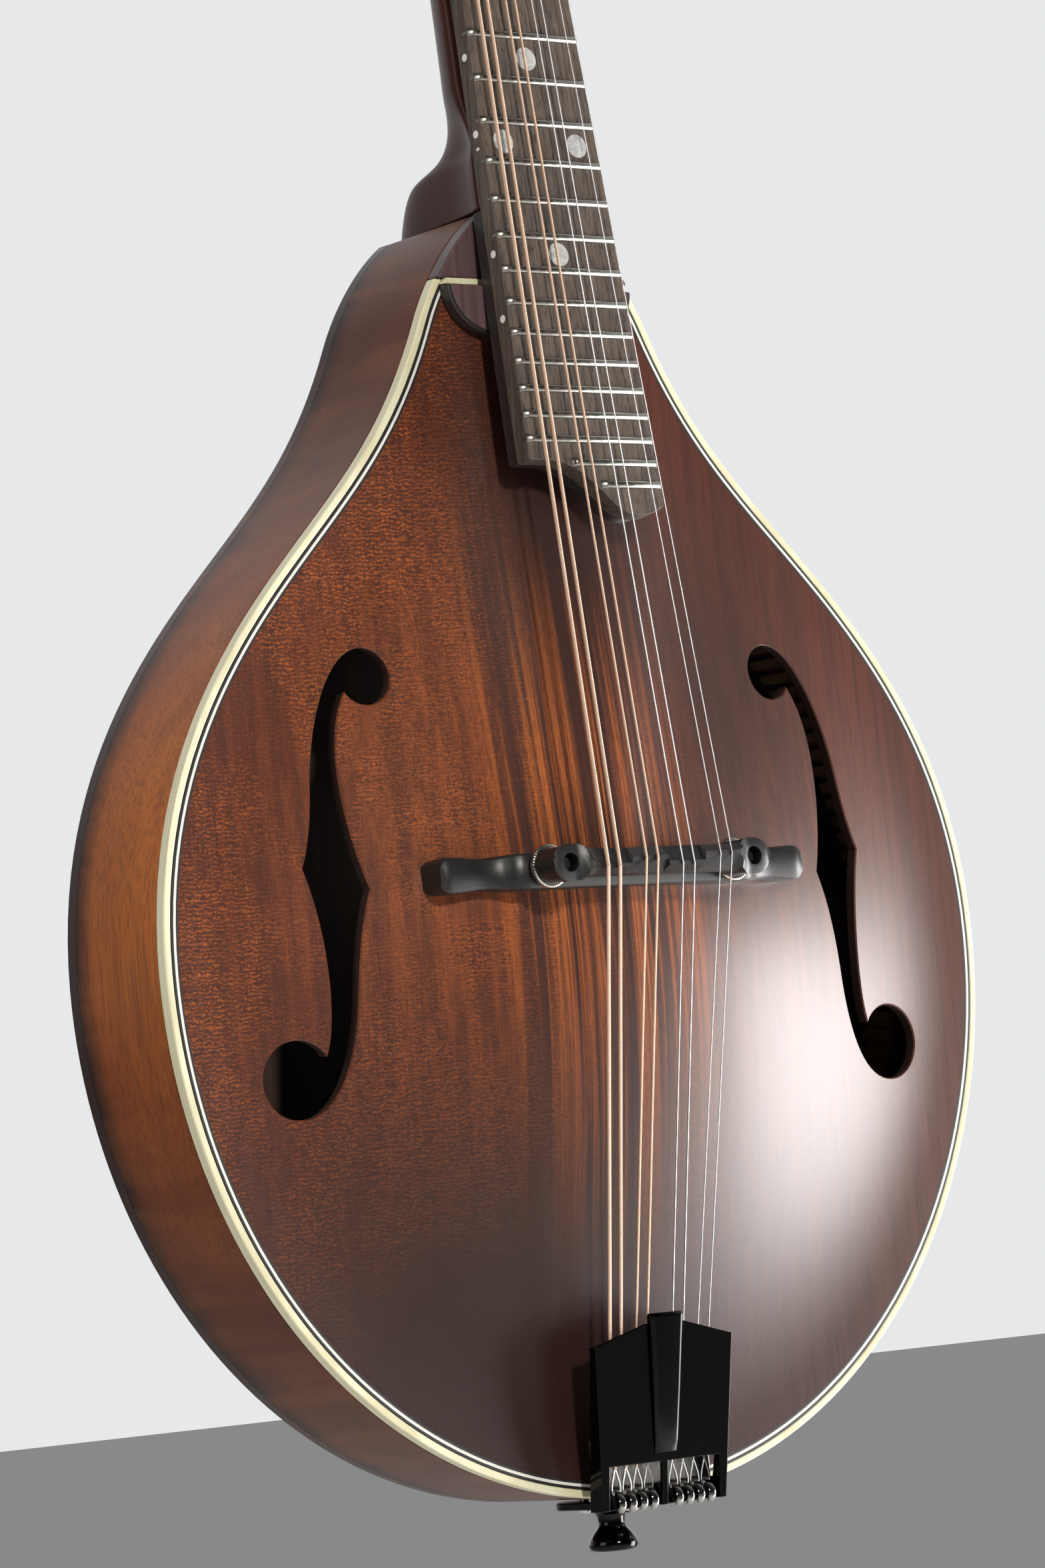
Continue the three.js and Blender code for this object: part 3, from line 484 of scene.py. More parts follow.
def make_materials():
    """Each finish by its key, paired with a slot name."""
    return {
        "top": (top_wood(), "top_finish"),
        "side": (side_wood(), "side_finish"),
        "back": (back_wood(), "side_finish"),
        "neck": (neck_wood(), "neck_finish"),
        "plate": (stained_plate(), "top_finish"),
        # dark brown for the f-hole walls, and painted shade for the plates' inner faces inside the body
        "hole_wall_and_inner_shade": (bare_wood("Hole_wall_and_inner_shade", (0.05, 0.02, 0.012), (0.018, 0.009, 0.007),
                                (0.4, 0.4, 0.1)), "top_finish"),
        "inside": (bare_wood("Inside_wood", (0.26, 0.14, 0.065), (0.15, 0.075, 0.035),
                             (0.2, 0.8, 0.4)), "bare_spruce"),
        "spruce": (bare_wood("Lining_wood", (0.36, 0.21, 0.1), (0.22, 0.12, 0.055),
                             (0.5, 0.1, 0.6)), "bare_spruce"),
        "cream": (binding_plastic(), "cream_binding"),
        "black_line": (ebony("Purfling_black", (0.012, 0.012, 0.013), 0.35), "cream_binding"),
        "white_line": (plain("Purfling_white", (0.78, 0.76, 0.7), 0.4), "cream_binding"),
        "board": (rosewood(), "rosewood"),
        "ebony": (ebony("Ebony", (0.0085, 0.008, 0.0076), 0.31), "ebony"),
        "satin_black": (ebony("Satin_black", (0.018, 0.014, 0.013), 0.3, 0.2), "ebony"),
        "bone": (plain("Bone", (0.76, 0.7, 0.56), 0.35), "bone"),
        "nickel": (metal("Nickel", (0.66, 0.63, 0.58), 0.13), "nickel"),
        "fret": (metal("Fret_wire", (0.38, 0.37, 0.33), 0.2), "nickel"),
        "chrome": (metal("Hook_chrome", (0.34, 0.33, 0.31), 0.06, 0.02), "nickel"),
        "steel": (metal("Plain_steel", (0.5, 0.5, 0.51), 0.26), "steel"),
        # steel darkened as a painted shade, for the shadow the bridge posts sit in inside their holes
        "dark_steel": (metal("Dark_steel", (0.1, 0.1, 0.1), 0.35), "steel"),
        "dark_metal": (metal("Black_nickel", (0.024, 0.0225, 0.022), 0.09, 0.02), "black_nickel"),
        "bronze": (wound_string(), "wound_bronze"),
        "dot": (pearl("Pearl_dot", (0.42, 0.41, 0.39), (0.56, 0.57, 0.56), (0.32, 0.34, 0.36)),
                "pearloid"),
        "button": (pearl("Pearloid_button", (0.78, 0.75, 0.68), (0.88, 0.87, 0.83),
                         (0.62, 0.6, 0.55)), "pearloid"),
        "side_dot": (plain("Side_dot", (0.85, 0.84, 0.8), 0.35), "pearloid"),
    }


# ---------------------------------------------------------------- mesh tools

def mesh_of(name, verts, faces):
    mesh = bpy.data.meshes.new(name)
    mesh.from_pydata([tuple(v) for v in verts], [], [tuple(f) for f in faces])
    return mesh


def weld(mesh):
    """Closes the seams and turns every face outward."""
    bm = bmesh.new()
    bm.from_mesh(mesh)
    bmesh.ops.remove_doubles(bm, verts=bm.verts, dist=2e-6)
    bmesh.ops.recalc_face_normals(bm, faces=bm.faces)
    bm.to_mesh(mesh)
    bm.free()


def shade(mesh, sharp):
    """Smooth, apart from edges that bend by more than an angle in degrees."""
    mesh.shade_smooth()
    mesh.set_sharp_from_angle(angle=sharp * DEG)


def piece(name, verts, faces, finish, body="body", nodes=(), bevel=0, sharp=35, inner=(), slot=None):
    """A closed mesh that rides on a body. Faces numbered in inner take a dark brown: the walls of holes,
    and painted shade on a plate's inner face.
    """
    mesh = mesh_of(name, verts, faces)
    material, own_slot = MATERIALS[finish]
    mesh.materials.append(material)
    if inner:
        mesh.materials.append(MATERIALS["hole_wall_and_inner_shade"][0])
        for index in inner:
            mesh.polygons[index].material_index = 1
    obj = placed(name, mesh)
    weld(mesh)
    shade(mesh, sharp)
    if bevel:
        edge = obj.modifiers.new("Edge", "BEVEL")
        edge.width = bevel * MM
        edge.segments = 2
        edge.limit_method = "ANGLE"
        edge.angle_limit = 30 * DEG
        edge.harden_normals = True
        edge.use_clamp_overlap = True
    if body:
        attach(obj, body)
    if nodes:
        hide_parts(*nodes)
    return obj


def stain(node, finish):
    """A CAD solid that is seen as it is takes a finish."""
    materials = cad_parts[node].data.materials
    materials.clear()
    materials.append(MATERIALS[finish][0])


def around(count):
    """Angles evenly round a circle."""
    return np.linspace(0, 2 * pi, count, endpoint=False)


def ease(t):
    """0 to 1, slow at both ends."""
    t = min(1, max(0, t))
    return t * t * (3 - 2 * t)


def catmull(a, b, c, d, t):
    """A point of the smooth curve between b and c."""
    return 0.5 * (2 * b + (c - a) * t + (2 * a - 5 * b + 4 * c - d) * t * t
                  + (3 * b - a - 3 * c + d) * t ** 3)


def skin(rings, closed=False):
    """Faces through rings of the same length; closed joins the last ring to the first."""
    count = len(rings[0])
    verts = [v for ring in rings for v in ring]
    faces = []
    last = len(rings) if closed else len(rings) - 1
    for r in range(last):
        a, b = r * count, (r + 1) % len(rings) * count
        faces += [(a + i, a + (i + 1) % count, b + (i + 1) % count, b + i) for i in range(count)]
    if not closed:
        faces.append(tuple(range(count))[::-1])
        faces.append(tuple(range((len(rings) - 1) * count, len(rings) * count)))
    return verts, faces


def slab(outline, low, high, place=at):
    """An outline in x and z, solid from y = low to y = high."""
    return skin([[place(x, y, z) for x, z in outline] for y in (low, high)])


def rails(profile, low, high, place=at):
    """An outline in y and z, solid from x = low to x = high."""
    return skin([[place(x, y, z) for y, z in profile] for x in (low, high)])


def block(x, y, z, place=at):
    """A box between pairs of x, y and z."""
    return slab([(x[0], z[0]), (x[1], z[0]), (x[1], z[1]), (x[0], z[1])], y[0], y[1], place)


def joined(*parts):
    """Several closed skins as one mesh."""
    verts, faces = [], []
    for part_verts, part_faces in parts:
        faces += [tuple(i + len(verts) for i in face) for face in part_faces]
        verts += list(part_verts)
    return verts, faces


def turned(profile, place, count=32, x=0, z=0, closed=False):
    """A profile of (radius, y) turned about the y axis through x and z."""
    return skin([[place(x + r * cos(a), y, z + r * sin(a)) for a in around(count)]
                 for r, y in profile], closed=closed)


def turned_z(profile, y, count):
    """A profile of (radius, z) turned about the z axis through x = 0 and y."""
    return skin([[at(r * cos(a), y + r * sin(a), z) for a in around(count)] for r, z in profile])


def tube(points, radius, count=10, closed=False):
    """A round tube through a list of points in the frame."""
    path = [Vector(p) for p in points]
    rings, side = [], None
    for i, here in enumerate(path):
        before = path[i - 1] if i or closed else path[0]
        after = path[(i + 1) % len(path)] if i + 1 < len(path) or closed else path[-1]
        along = (after - before).normalized()
        side = side or along.orthogonal()
        side = (side - along * side.dot(along)).normalized()
        other = along.cross(side)
        rings.append([here + (side * cos(a) + other * sin(a)) * radius * MM for a in around(count)])
    return skin(rings, closed=closed)


def bezier(points, count):
    """Points after the first on a curve with one or two handles."""
    p = np.array(points, float)
    t = np.linspace(0, 1, count + 1)[1:, None]
    if len(p) == 3:
        return (1 - t) ** 2 * p[0] + 2 * (1 - t) * t * p[1] + t * t * p[2]
    return ((1 - t) ** 3 * p[0] + 3 * (1 - t) ** 2 * t * p[1] + 3 * (1 - t) * t * t * p[2] + t ** 3 * p[3])


def arc(centre, radius, start, end, count):
    a = np.linspace(start, end, count + 1)
    return np.c_[centre[0] + radius * np.cos(a), centre[1] + radius * np.sin(a)]


# ---------------------------------------------------------------- body outline and arch

def half_outline(inset=0):
    """The treble half of the body, moved in by inset, from the tail to the shoulder."""
    widest, waist = np.array([HALF_WIDTH, BOUT_Z]), np.array([78.85, 79.27])
    neck_side, shoulder = np.array([35.49, 136.89]), np.array([15, SHOULDER_Z])
    waist_dir = np.array([-sin(0.78), cos(0.78)])
    side_dir = np.array([-sin(0.41), cos(0.41)])
    a = np.linspace(-pi / 2, 0, 49)
    points = np.vstack([
        np.c_[HALF_WIDTH * np.cos(a), BOUT_Z + (BOUT_Z - TAIL_Z) * np.sin(a)],
        bezier([widest, widest + (0, 47.44), waist - 32.99 * waist_dir, waist], 24),
        bezier([waist, waist + 25.56 * waist_dir, neck_side - 29.29 * side_dir, neck_side], 18),
        bezier([neck_side, neck_side + 8.79 * side_dir,
                shoulder + 12.2 * np.array([0.8, -0.6]), shoulder], 14)])
    run = np.gradient(points, axis=0)
    run[0] = (1, 0)
    run /= np.linalg.norm(run, axis=1)[:, None]
    moved = points + inset * np.c_[-run[:, 1], run[:, 0]]
    moved[0, 0] = 0
    return moved


def between(line, low, high):
    """The stretch of a half outline between two heights."""
    ends = [[[np.interp(z, line[:, 1], line[:, 0]), z]] for z in (low, high)]
    return np.vstack([*ends[:int(low > line[0, 1])], line[(line[:, 1] > low) & (line[:, 1] < high)],
                      *ends[1:1 + int(high < line[-1, 1])]])


def full_outline(inset, low=LOWEST, high=HIGHEST):
    """Both halves as one closed loop."""
    right = between(half_outline(inset), low, high)
    left = [(-x, z) for x, z in right[::-1] if x > 1e-6]
    return np.vstack([right, left])


def reach_table():
    """Distance from the arch's top to the rim for each direction, smoothed."""
    line = half_outline(BINDING)
    angles = np.arctan2(line[:, 0], line[:, 1] - BOUT_Z)[::-1]
    reaches = np.hypot(line[:, 0], line[:, 1] - BOUT_Z)[::-1]
    grid = np.linspace(-pi / 4, pi * 1.25, 1081)
    folded = np.where(grid > pi, 2 * pi - grid, np.abs(grid))
    reach = np.where(folded < angles[0], (SHOULDER_Z - BOUT_Z) / np.cos(folded),
                     np.interp(folded, angles, reaches))
    weights = np.exp(-0.5 * (np.arange(-60, 61) / 18) ** 2)
    smooth = np.convolve(np.pad(reach, 60, mode="edge"), weights / weights.sum(), mode="valid")
    return grid, smooth


REACH = reach_table()


def arch(x, z):
    """1 at the top of the arch, falling to 0 near the rim."""
    x, z = np.asarray(x, float), np.asarray(z, float)
    reach = np.interp(np.arctan2(np.abs(x), z - BOUT_Z), *REACH)
    share = np.hypot(x, z - BOUT_Z) / reach
    return np.maximum(0, 1 - (share / RECURVE) ** 2) ** 2


def top_y(x, z):
    """The height of the soundboard's outer face."""
    return -FRONT_ARCH * arch(x, z)


def sound_hole(side):
    """The f-shaped hole as a closed loop, drawn for the treble side and mirrored for the bass."""
    loop = np.vstack([
        arc((63.8, 48), 7, -0.55, -1.5 * pi, 26),
        bezier([(63.8, 55), (73, 55), (80.5, 38), (82.6, 22)], 16),
        bezier([(82.6, 22), (84, 9.5), (87.3, 2)], 9),
        bezier([(87.3, 2), (82.2, -14), (82, -36), (85.26, -42.87)], 18),
        arc((93.2, -47.9), 9.4, 2.577, -pi / 2, 30)[1:],
        bezier([(93.2, -57.3), (83.5, -57.3), (78.2, -46), (76.4, -32)], 16),
        bezier([(76.4, -32), (75.4, -22), (74, -12), (70.5, -3.8)], 12),
        bezier([(70.5, -3.8), (74.5, 8), (78.6, 32), (69.77, 44.34)], 20)[:-1]])
    return loop * (side, 1)


def widened(loop, amount):
    """A closed loop with each point moved out by amount."""
    ahead, behind = np.roll(loop, -1, axis=0) - loop, loop - np.roll(loop, 1, axis=0)
    run = ahead / np.linalg.norm(ahead, axis=1)[:, None] + behind / np.linalg.norm(behind, axis=1)[:, None]
    run /= np.linalg.norm(run, axis=1)[:, None]
    area = np.sum(loop[:, 0] * np.roll(loop[:, 1], -1) - np.roll(loop[:, 0], -1) * loop[:, 1])
    return loop + copysign(amount, area) * np.c_[run[:, 1], -run[:, 0]]


def inside(points, loop):
    """Which points lie within a closed loop."""
    x, z = points[:, 0:1], points[:, 1:2]
    x0, z0 = loop[:, 0], loop[:, 1]
    x1, z1 = np.roll(x0, -1), np.roll(z0, -1)
    crosses = (z0 > z) != (z1 > z)
    slope = np.where(z1 == z0, 1e-9, z1 - z0)
    return (np.sum(crosses & (x < (x1 - x0) * (z - z0) / slope + x0), axis=1) % 2) == 1


def clear_of(points, loop, gap):
    """Which points keep more than a gap from a loop's edges."""
    a, b = loop, np.roll(loop, -1, axis=0)
    edge = b - a
    rel = points[:, None, :] - a[None]
    t = np.clip((rel * edge).sum(-1) / np.maximum((edge ** 2).sum(-1), 1e-12), 0, 1)
    return np.linalg.norm(rel - t[..., None] * edge, axis=-1).min(axis=1) > gap


def carved_plate(outline, holes, spacing, upper, lower, rounding=0.35):
    """A plate between two height functions, with holes whose upper rims are rounded."""
    wide = [widened(hole, rounding) for hole in holes]
    low, high = outline.min(axis=0), outline.max(axis=0)
    rows = []
    for i, z in enumerate(np.arange(low[1], high[1], spacing * 0.866)):
        xs = np.arange(low[0] + (i % 2) * spacing / 2, high[0], spacing)
        rows.append(np.c_[xs, np.full_like(xs, z)])
    grid = np.vstack(rows)
    keep = inside(grid, outline) & clear_of(grid, outline, spacing * 0.5)
    for hole in wide:
        keep &= ~inside(grid, hole) & clear_of(grid, hole, spacing * 0.45)
    loops = [outline, *wide]
    flat = np.vstack([*loops, grid[keep]])
    edges, start = [], 0
    for loop in loops:
        edges += [(start + i, start + (i + 1) % len(loop)) for i in range(len(loop))]
        start += len(loop)
    points, _, faces, *_ = delaunay_2d_cdt([Vector(p) for p in flat], edges, [], 0, 1e-5)
    points = np.array([tuple(p) for p in points])
    middles = np.array([points[list(face)].mean(axis=0) for face in faces])
    solid = inside(middles, outline)
    for hole in wide:
        solid &= ~inside(middles, hole)
    faces = [tuple(face) for face, good in zip(faces, solid) if good]
    count = len(points)
    verts = [at(x, y, z) for height in (upper, lower)
             for (x, z), y in zip(points, height(points[:, 0], points[:, 1]))]
    skin_faces = faces + [tuple(i + count for i in face[::-1]) for face in faces]
    inner = set(range(len(faces), 2 * len(faces)))
    n = len(outline)
    skin_faces += [(i, (i + 1) % n, (i + 1) % n + count, i + count) for i in range(n)]
    start = n
    for hole in holes:
        y = upper(hole[:, 0], hole[:, 1]) + rounding
        ring = len(verts)
        verts += [at(x, depth, z) for (x, z), depth in zip(hole, y)]
        n = len(hole)
        for i in range(n):
            j = (i + 1) % n
            skin_faces.append((start + i, start + j, ring + j, ring + i))
            inner.add(len(skin_faces))
            skin_faces.append((ring + i, ring + j, start + count + j, start + count + i))
        start += n
    return verts, skin_faces, inner


# ---------------------------------------------------------------- body

def build_plates():
    holes = [sound_hole(-1), sound_hole(1)]
    outline = full_outline(PURFLING[-1] + 0.02, high=CROSS_BINDING[0] - 0.05)
    # The soundboard's inner face and its f-hole walls take the dark brown finish: painted shade inside the
    # body, and the hole walls.
    verts, faces, inner = carved_plate(
        outline, holes, 3, top_y, lambda x, z: FRONT_EDGE - 0.06 + 0.965 * top_y(x, z))
    piece("Soundboard_carved", verts, faces, "top", nodes=["soundboard"], sharp=25, inner=inner)
    verts, faces, inner = carved_plate(
        full_outline(0), [], 4, lambda x, z: RIM_DEPTH - BACK_EDGE + 0.96 * BACK_ARCH * arch(x, z),
        lambda x, z: RIM_DEPTH + BACK_ARCH * arch(x, z))
    # The back's inner face takes the same dark brown, a painted shade inside the body.
    piece("Back_carved", verts, faces, "back", nodes=["back_plate"], sharp=40, inner=range(min(inner)))


def rim_strip(side, outer, inner, low_y, high_y, low=LOWEST, high=HIGHEST):
    """A strip that follows one side of the body, between two insets."""
    line = np.vstack([between(half_outline(outer), low, high),
                      between(half_outline(inner), low, high)[::-1]]) * (side, 1)
    return slab(line, low_y, high_y)


def kerfed_lining(side, wide_y, thin_y):
    """A strip of small blocks, cut nearly through from the inside, tapering away from its plate."""
    outer, inner = half_outline(2.25), half_outline(6.6)
    band = (outer[:, 1] > -138) & (outer[:, 1] < 117)
    lines = []
    for line in (outer, inner):
        kept = line[band]
        run = np.r_[0, np.cumsum(np.linalg.norm(np.diff(kept, axis=0), axis=1))]
        steps = np.linspace(0, 1, 4 * KERF_BLOCKS + 1)
        lines.append(np.c_[np.interp(steps, run / run[-1], kept[:, 0]),
                           np.interp(steps, run / run[-1], kept[:, 1])])
    mid_y = wide_y + (thin_y - wide_y) * 0.35
    rings = []
    for i, (a, b) in enumerate(zip(*lines)):
        deep_share, far_share = (0.25, 0.2) if i % 4 == 0 else (1, 0.35)
        deep, far = a + (b - a) * deep_share, a + (b - a) * far_share
        rings.append([at(side * p[0], y, p[1]) for p, y in (
            (a, wide_y), (deep, wide_y), (deep, mid_y), (far, thin_y), (a, thin_y))])
    return skin(rings)


def build_rims():
    back_y = RIM_DEPTH - BACK_EDGE
    for name, side in SIDES:
        piece(f"Rim_{name}_bent", *rim_strip(side, 0, RIM_THICKNESS, FRONT_EDGE, back_y - 0.02),
              "side", nodes=[f"rim_{name}"], bevel=0.15)
        piece(f"Binding_{name}_strip", *rim_strip(side, 0, BINDING, 0, FRONT_EDGE - 0.02,
              high=CROSS_BINDING[1]), "cream", nodes=[f"binding_{name}"], bevel=0.45)
        for part, a, b, finish in (("outer", 0, 1, "black_line"), ("middle", 1, 2, "white_line"),
                                   ("inner", 2, 3, "black_line")):
            piece(f"Purfling_{part}_{name}", *rim_strip(
                side, PURFLING[a], PURFLING[b], -0.02, 1.6, high=CROSS_BINDING[0] - 0.1), finish)
        for end, wide_y, thin_y in (("front", 3.5, 11), ("back", 37.7, 30.2)):
            piece(f"{end.capitalize()}_lining_{name}_kerfed", *kerfed_lining(side, wide_y, thin_y),
                  "spruce", nodes=[f"{end}_lining_{name}"])
    for node, finish in (("neck_block", "neck"), ("tail_block", "inside"), ("tone_bar_bass", "spruce"),
                         ("tone_bar_treble", "spruce")):
        stain(node, finish)


def build_shoulder():
    """The cream strip across the neck end, and the flush face above it."""
    low, high = CROSS_BINDING
    strip = full_outline(BINDING + 0.05, low, high)
    piece("Cross_binding_strip", *slab(strip, -1.5, FRONT_EDGE), "cream",
          nodes=["cross_binding"], bevel=0.3)
    piece("Shoulder_face", *slab(full_outline(0, high + 0.05, HIGHEST), -1.5, FRONT_EDGE - 0.05),
          "plate", nodes=["shoulder_plate"], bevel=0.5)


# ---------------------------------------------------------------- neck and headstock

def smooth_line(points, count):
    """A Catmull-Rom curve through points."""
    p = np.array(points, float)
    p = np.vstack([2 * p[0] - p[1], p, 2 * p[-1] - p[-2]])
    out = []
    for i in range(1, len(p) - 2):
        out += [catmull(*p[i - 1:i + 3], t) for t in np.linspace(0, 1, count, endpoint=False)]
    out.append(p[-2])
    return np.array(out)


def between_frets(n):
    """Where the dots of a position sit."""
    return (fret_z(n) + fret_z(n - 1)) / 2


def board_half_width(z):
    return 14.05 + 0.0237 * (350.2 - z)


def head_side():
    """The treble edge of the headstock, from the nut to the tip."""
    return np.vstack([
        [(15, -6), (15, 2)], bezier([(15, 2), (15, 12), (26, 14), (28.5, 24)], 14), [(25.6, 124)],
        bezier([(25.6, 124), (25, 134), (14, 137)], 10), bezier([(14, 137), (7, 139), (0, 139)], 8)])


def power(value, exponent):
    """A power that keeps the sign."""
    return copysign(abs(value) ** exponent, value)


def neck_rings():
    """Sections from the heel's foot to the headstock's tip, one closed ring each."""
    wedge = np.array([(1, 0), (0.9, 0.07), (0.79, 0.2), (0.72, 0.36), (0.67, 0.54), (0.62, 0.72),
                      (0.56, 0.87), (0.46, 0.96), (0.3, 0.995), (0.12, 1)])
    wedge = np.vstack([wedge, wedge[::-1] * (-1, 1)])
    angles = np.linspace(0, pi, len(wedge))
    back_line = smooth_line([(163.8, 43.2), (167, 42.6), (170.6, 41.3), (174, 39.6), (176.7, 37.2),
                             (178.4, 33.6), (179.7, 28.6), (181.6, 23.4), (185.2, 19.6),
                             (191, 18), (199, 17.9), (214, 18.9), (250, 22), (300, 26.4), (338, 29.6)], 4)
    rings = []
    for z, back in back_line:
        blend = ease((197 - z) / 18)
        front = BOARD_PLANE_Y + z * tan(BOARD_TILT) + 5.07
        wide = board_half_width(z) - 0.25
        ring = []
        for a, (wx, wy) in zip(angles, wedge):
            x = cos(a) * (1 - blend) + wx * blend
            y = sin(a) ** 0.85 * (1 - blend) + wy * blend
            ring.append(at(x * wide, front + y * (back - front), z))
        rings.append(ring)
    side = head_side()
    for share in np.linspace(0, 1, 9)[1:]:
        step = ease(share)
        wide = 14.4 + 0.6 * share
        round_x, round_y = 1 - 0.72 * step, 0.85 - 0.6 * step
        depth = 15.2 + 1.6 * sin(pi * share) - 1.7 * share
        tilt = BOARD_TILT + step * HEAD_TILT
        base = on_board(0, BOARD_UNDER, 345 + 13 * share)
        base += (on_head(0, 0.2, 2) - on_board(0, BOARD_UNDER, 358)) * step
        rings.append([base + Vector((x * MM, y * cos(tilt) * MM, -y * sin(tilt) * MM))
                      for x, y in section(angles, wide, depth, round_x, round_y)])
    heights = [5, 8, 11, 14, 17, 20, 24, 40, 60, 80, 100, 118, 124, 128, 131, 133.5, 135.5,
               137, 138, 138.7, 139]
    for z in heights:
        wide = max(np.interp(z, side[:, 1], side[:, 0]), 0.5)
        share = min(1, z / 22)
        depth = HEAD_THICKNESS + (1 - share) * 1.2
        rings.append([on_head(x, y, z) for x, y in section(
            angles, wide, depth, 0.28 - 0.12 * share, 0.25 - 0.09 * share)])
    return rings


def section(angles, wide, depth, round_x, round_y):
    """A D that turns into a rounded rectangle as its powers fall."""
    return [(wide * power(cos(a), round_x), depth * abs(sin(a)) ** round_y) for a in angles]


def build_neck():
    neck = piece("Neck_carved", *skin(neck_rings()), "neck", nodes=["neck"], sharp=50)
    smooth = neck.modifiers.new("Round", "SUBSURF")
    smooth.levels = smooth.render_levels = 1
    side = [(x, z) for x, z in head_side()[2:] if z >= 2]
    outline = [(-15, 1.4), (15, 1.4), *side, *[(-x, z) for x, z in side[::-1] if x > 0.01]]
    piece("Headstock_overlay_plate", *slab(outline, -OVERLAY, -0.02, on_head), "satin_black",
          nodes=["headstock_overlay"], bevel=0.5)
    cover = np.vstack([bezier([(5, 2.4), (6.5, 14), (5, 21)], 8), bezier([(5, 21), (0, 30), (-5, 21)], 12),
                       bezier([(-5, 21), (-6.5, 14), (-5, 2.4)], 8)])
    piece("Truss_rod_cover_plate", *slab(cover, -OVERLAY - 1.6, -OVERLAY - 0.03, on_head), "ebony",
          nodes=["truss_rod_cover"], bevel=0.4)
    for number, z in ((1, 5.5), (2, 22)):
        piece(f"Cover_screw_{number}", *turned(
            [(0.1, -OVERLAY - 2.15), (1, -OVERLAY - 2.1), (1.4, -OVERLAY - 1.65), (1.4, -OVERLAY - 1.2),
             (0.1, -OVERLAY - 1.2)], on_head, 20, 0, z), "nickel")
    stain("truss_rod", "steel")


# ---------------------------------------------------------------- fingerboard

def scoop_line():
    """The body end of the board, from the bass side to the treble side."""
    right = board_half_width(88.2)
    return np.vstack([
        [(-board_half_width(99.4), 99.4), (-13, 99.4)],
        bezier([(-13, 99.4), (-3, 98), (1.5, 91), (5, 88)], 12),
        bezier([(5, 88), (9, 84.6), (16, 85), (right, 88.2)], 12)])


def board_outline(nut_end, margin=0):
    line = scoop_line()
    line = np.c_[line[:, 0] * (1 - margin / 20), line[:, 1] + margin]
    wide = board_half_width(nut_end) - margin
    return np.vstack([line, [(wide, nut_end), (-wide, nut_end)]])


def fret_z(n):
    """Equal temperament: each fret shortens the string by the twelfth root of two."""
    return SCALE_LENGTH * 2 ** (-n / 12)


def fret_wire(n):
    """A crowned wire with bevelled ends, on a tang that shows at the board's sides."""
    z = fret_z(n)
    right = board_half_width(z)
    left = -right
    line = scoop_line()
    if z < line[0, 1] + 1.2:
        order = np.argsort(line[:, 1])
        left = np.interp(z - 1, line[order, 1], line[order, 0]) + 0.6
    stations = ((left + 0.05, 0.1, 1.05), (left + 1, 0.85, 1.08), (left + 1.5, 1, 1),
                (right - 1, 1, 1), (right - 0.3, 0.5, 0.95), (right - 0.1, 0.05, 0.9))
    crown = [[on_board(x, -rise * max(sin(a), 0) ** 0.75, z + half * cos(a)) for a in np.linspace(0, pi, 9)]
             + [on_board(x, 0.06, z - half), on_board(x, 0.06, z + half)] for x, rise, half in stations]
    tang = block((left - 0.06, right + 0.06), (0.02, 1.7), (z - 0.28, z + 0.28), on_board)
    return joined(skin(crown), tang)


def build_board():
    piece("Fingerboard_slab", *slab(board_outline(SCALE_LENGTH - 0.05), 0, BOARD_THICKNESS, on_board),
          "board", nodes=["fingerboard"], bevel=0.35)
    for n in range(1, FRETS + 1):
        piece(f"Fret_{n:02d}", *fret_wire(n), "fret", sharp=50)
    dots = [(3, 0), (5, 0), (7, 0), (10, 0), (12, -11.6), (12, 11.6), (15, 0)]
    for k, (n, x) in enumerate(dots):
        z = between_frets(n)
        piece(f"Face_dot_{k + 1}", *turned(
            [(0.1, -0.06), (2.9, -0.05), (3.05, 0), (3.05, 0.8), (0.1, 0.8)], on_board, 36, x, z), "dot")
    for n in (3, 5, 7, 10, 12, 15, 17):
        z = between_frets(n)
        edge = -board_half_width(z)
        for k, shift in enumerate((-2.2, 2.2) if n == 12 else (0,)):
            rings = [[on_board(edge + x, 2.4 + r * cos(a), z + shift + r * sin(a)) for a in around(20)]
                     for r, x in ((0.1, -0.05), (0.95, -0.04), (1, 0.02), (1, 0.6), (0.1, 0.6))]
            piece(f"Side_dot_{n:02d}_{k + 1}", *skin(rings), "side_dot")
    build_riser()
    nut_profile = [(-1.7, SCALE_LENGTH), (-1.75, SCALE_LENGTH + 1), (-1.3, SCALE_LENGTH + 2.4),
                   (-0.3, SCALE_LENGTH + 4), (BOARD_THICKNESS, SCALE_LENGTH + 4),
                   (BOARD_THICKNESS, SCALE_LENGTH)]
    piece("Nut_bone", *rails(nut_profile, -14.3, 14.3, on_board), "bone", nodes=["nut"], bevel=0.3)


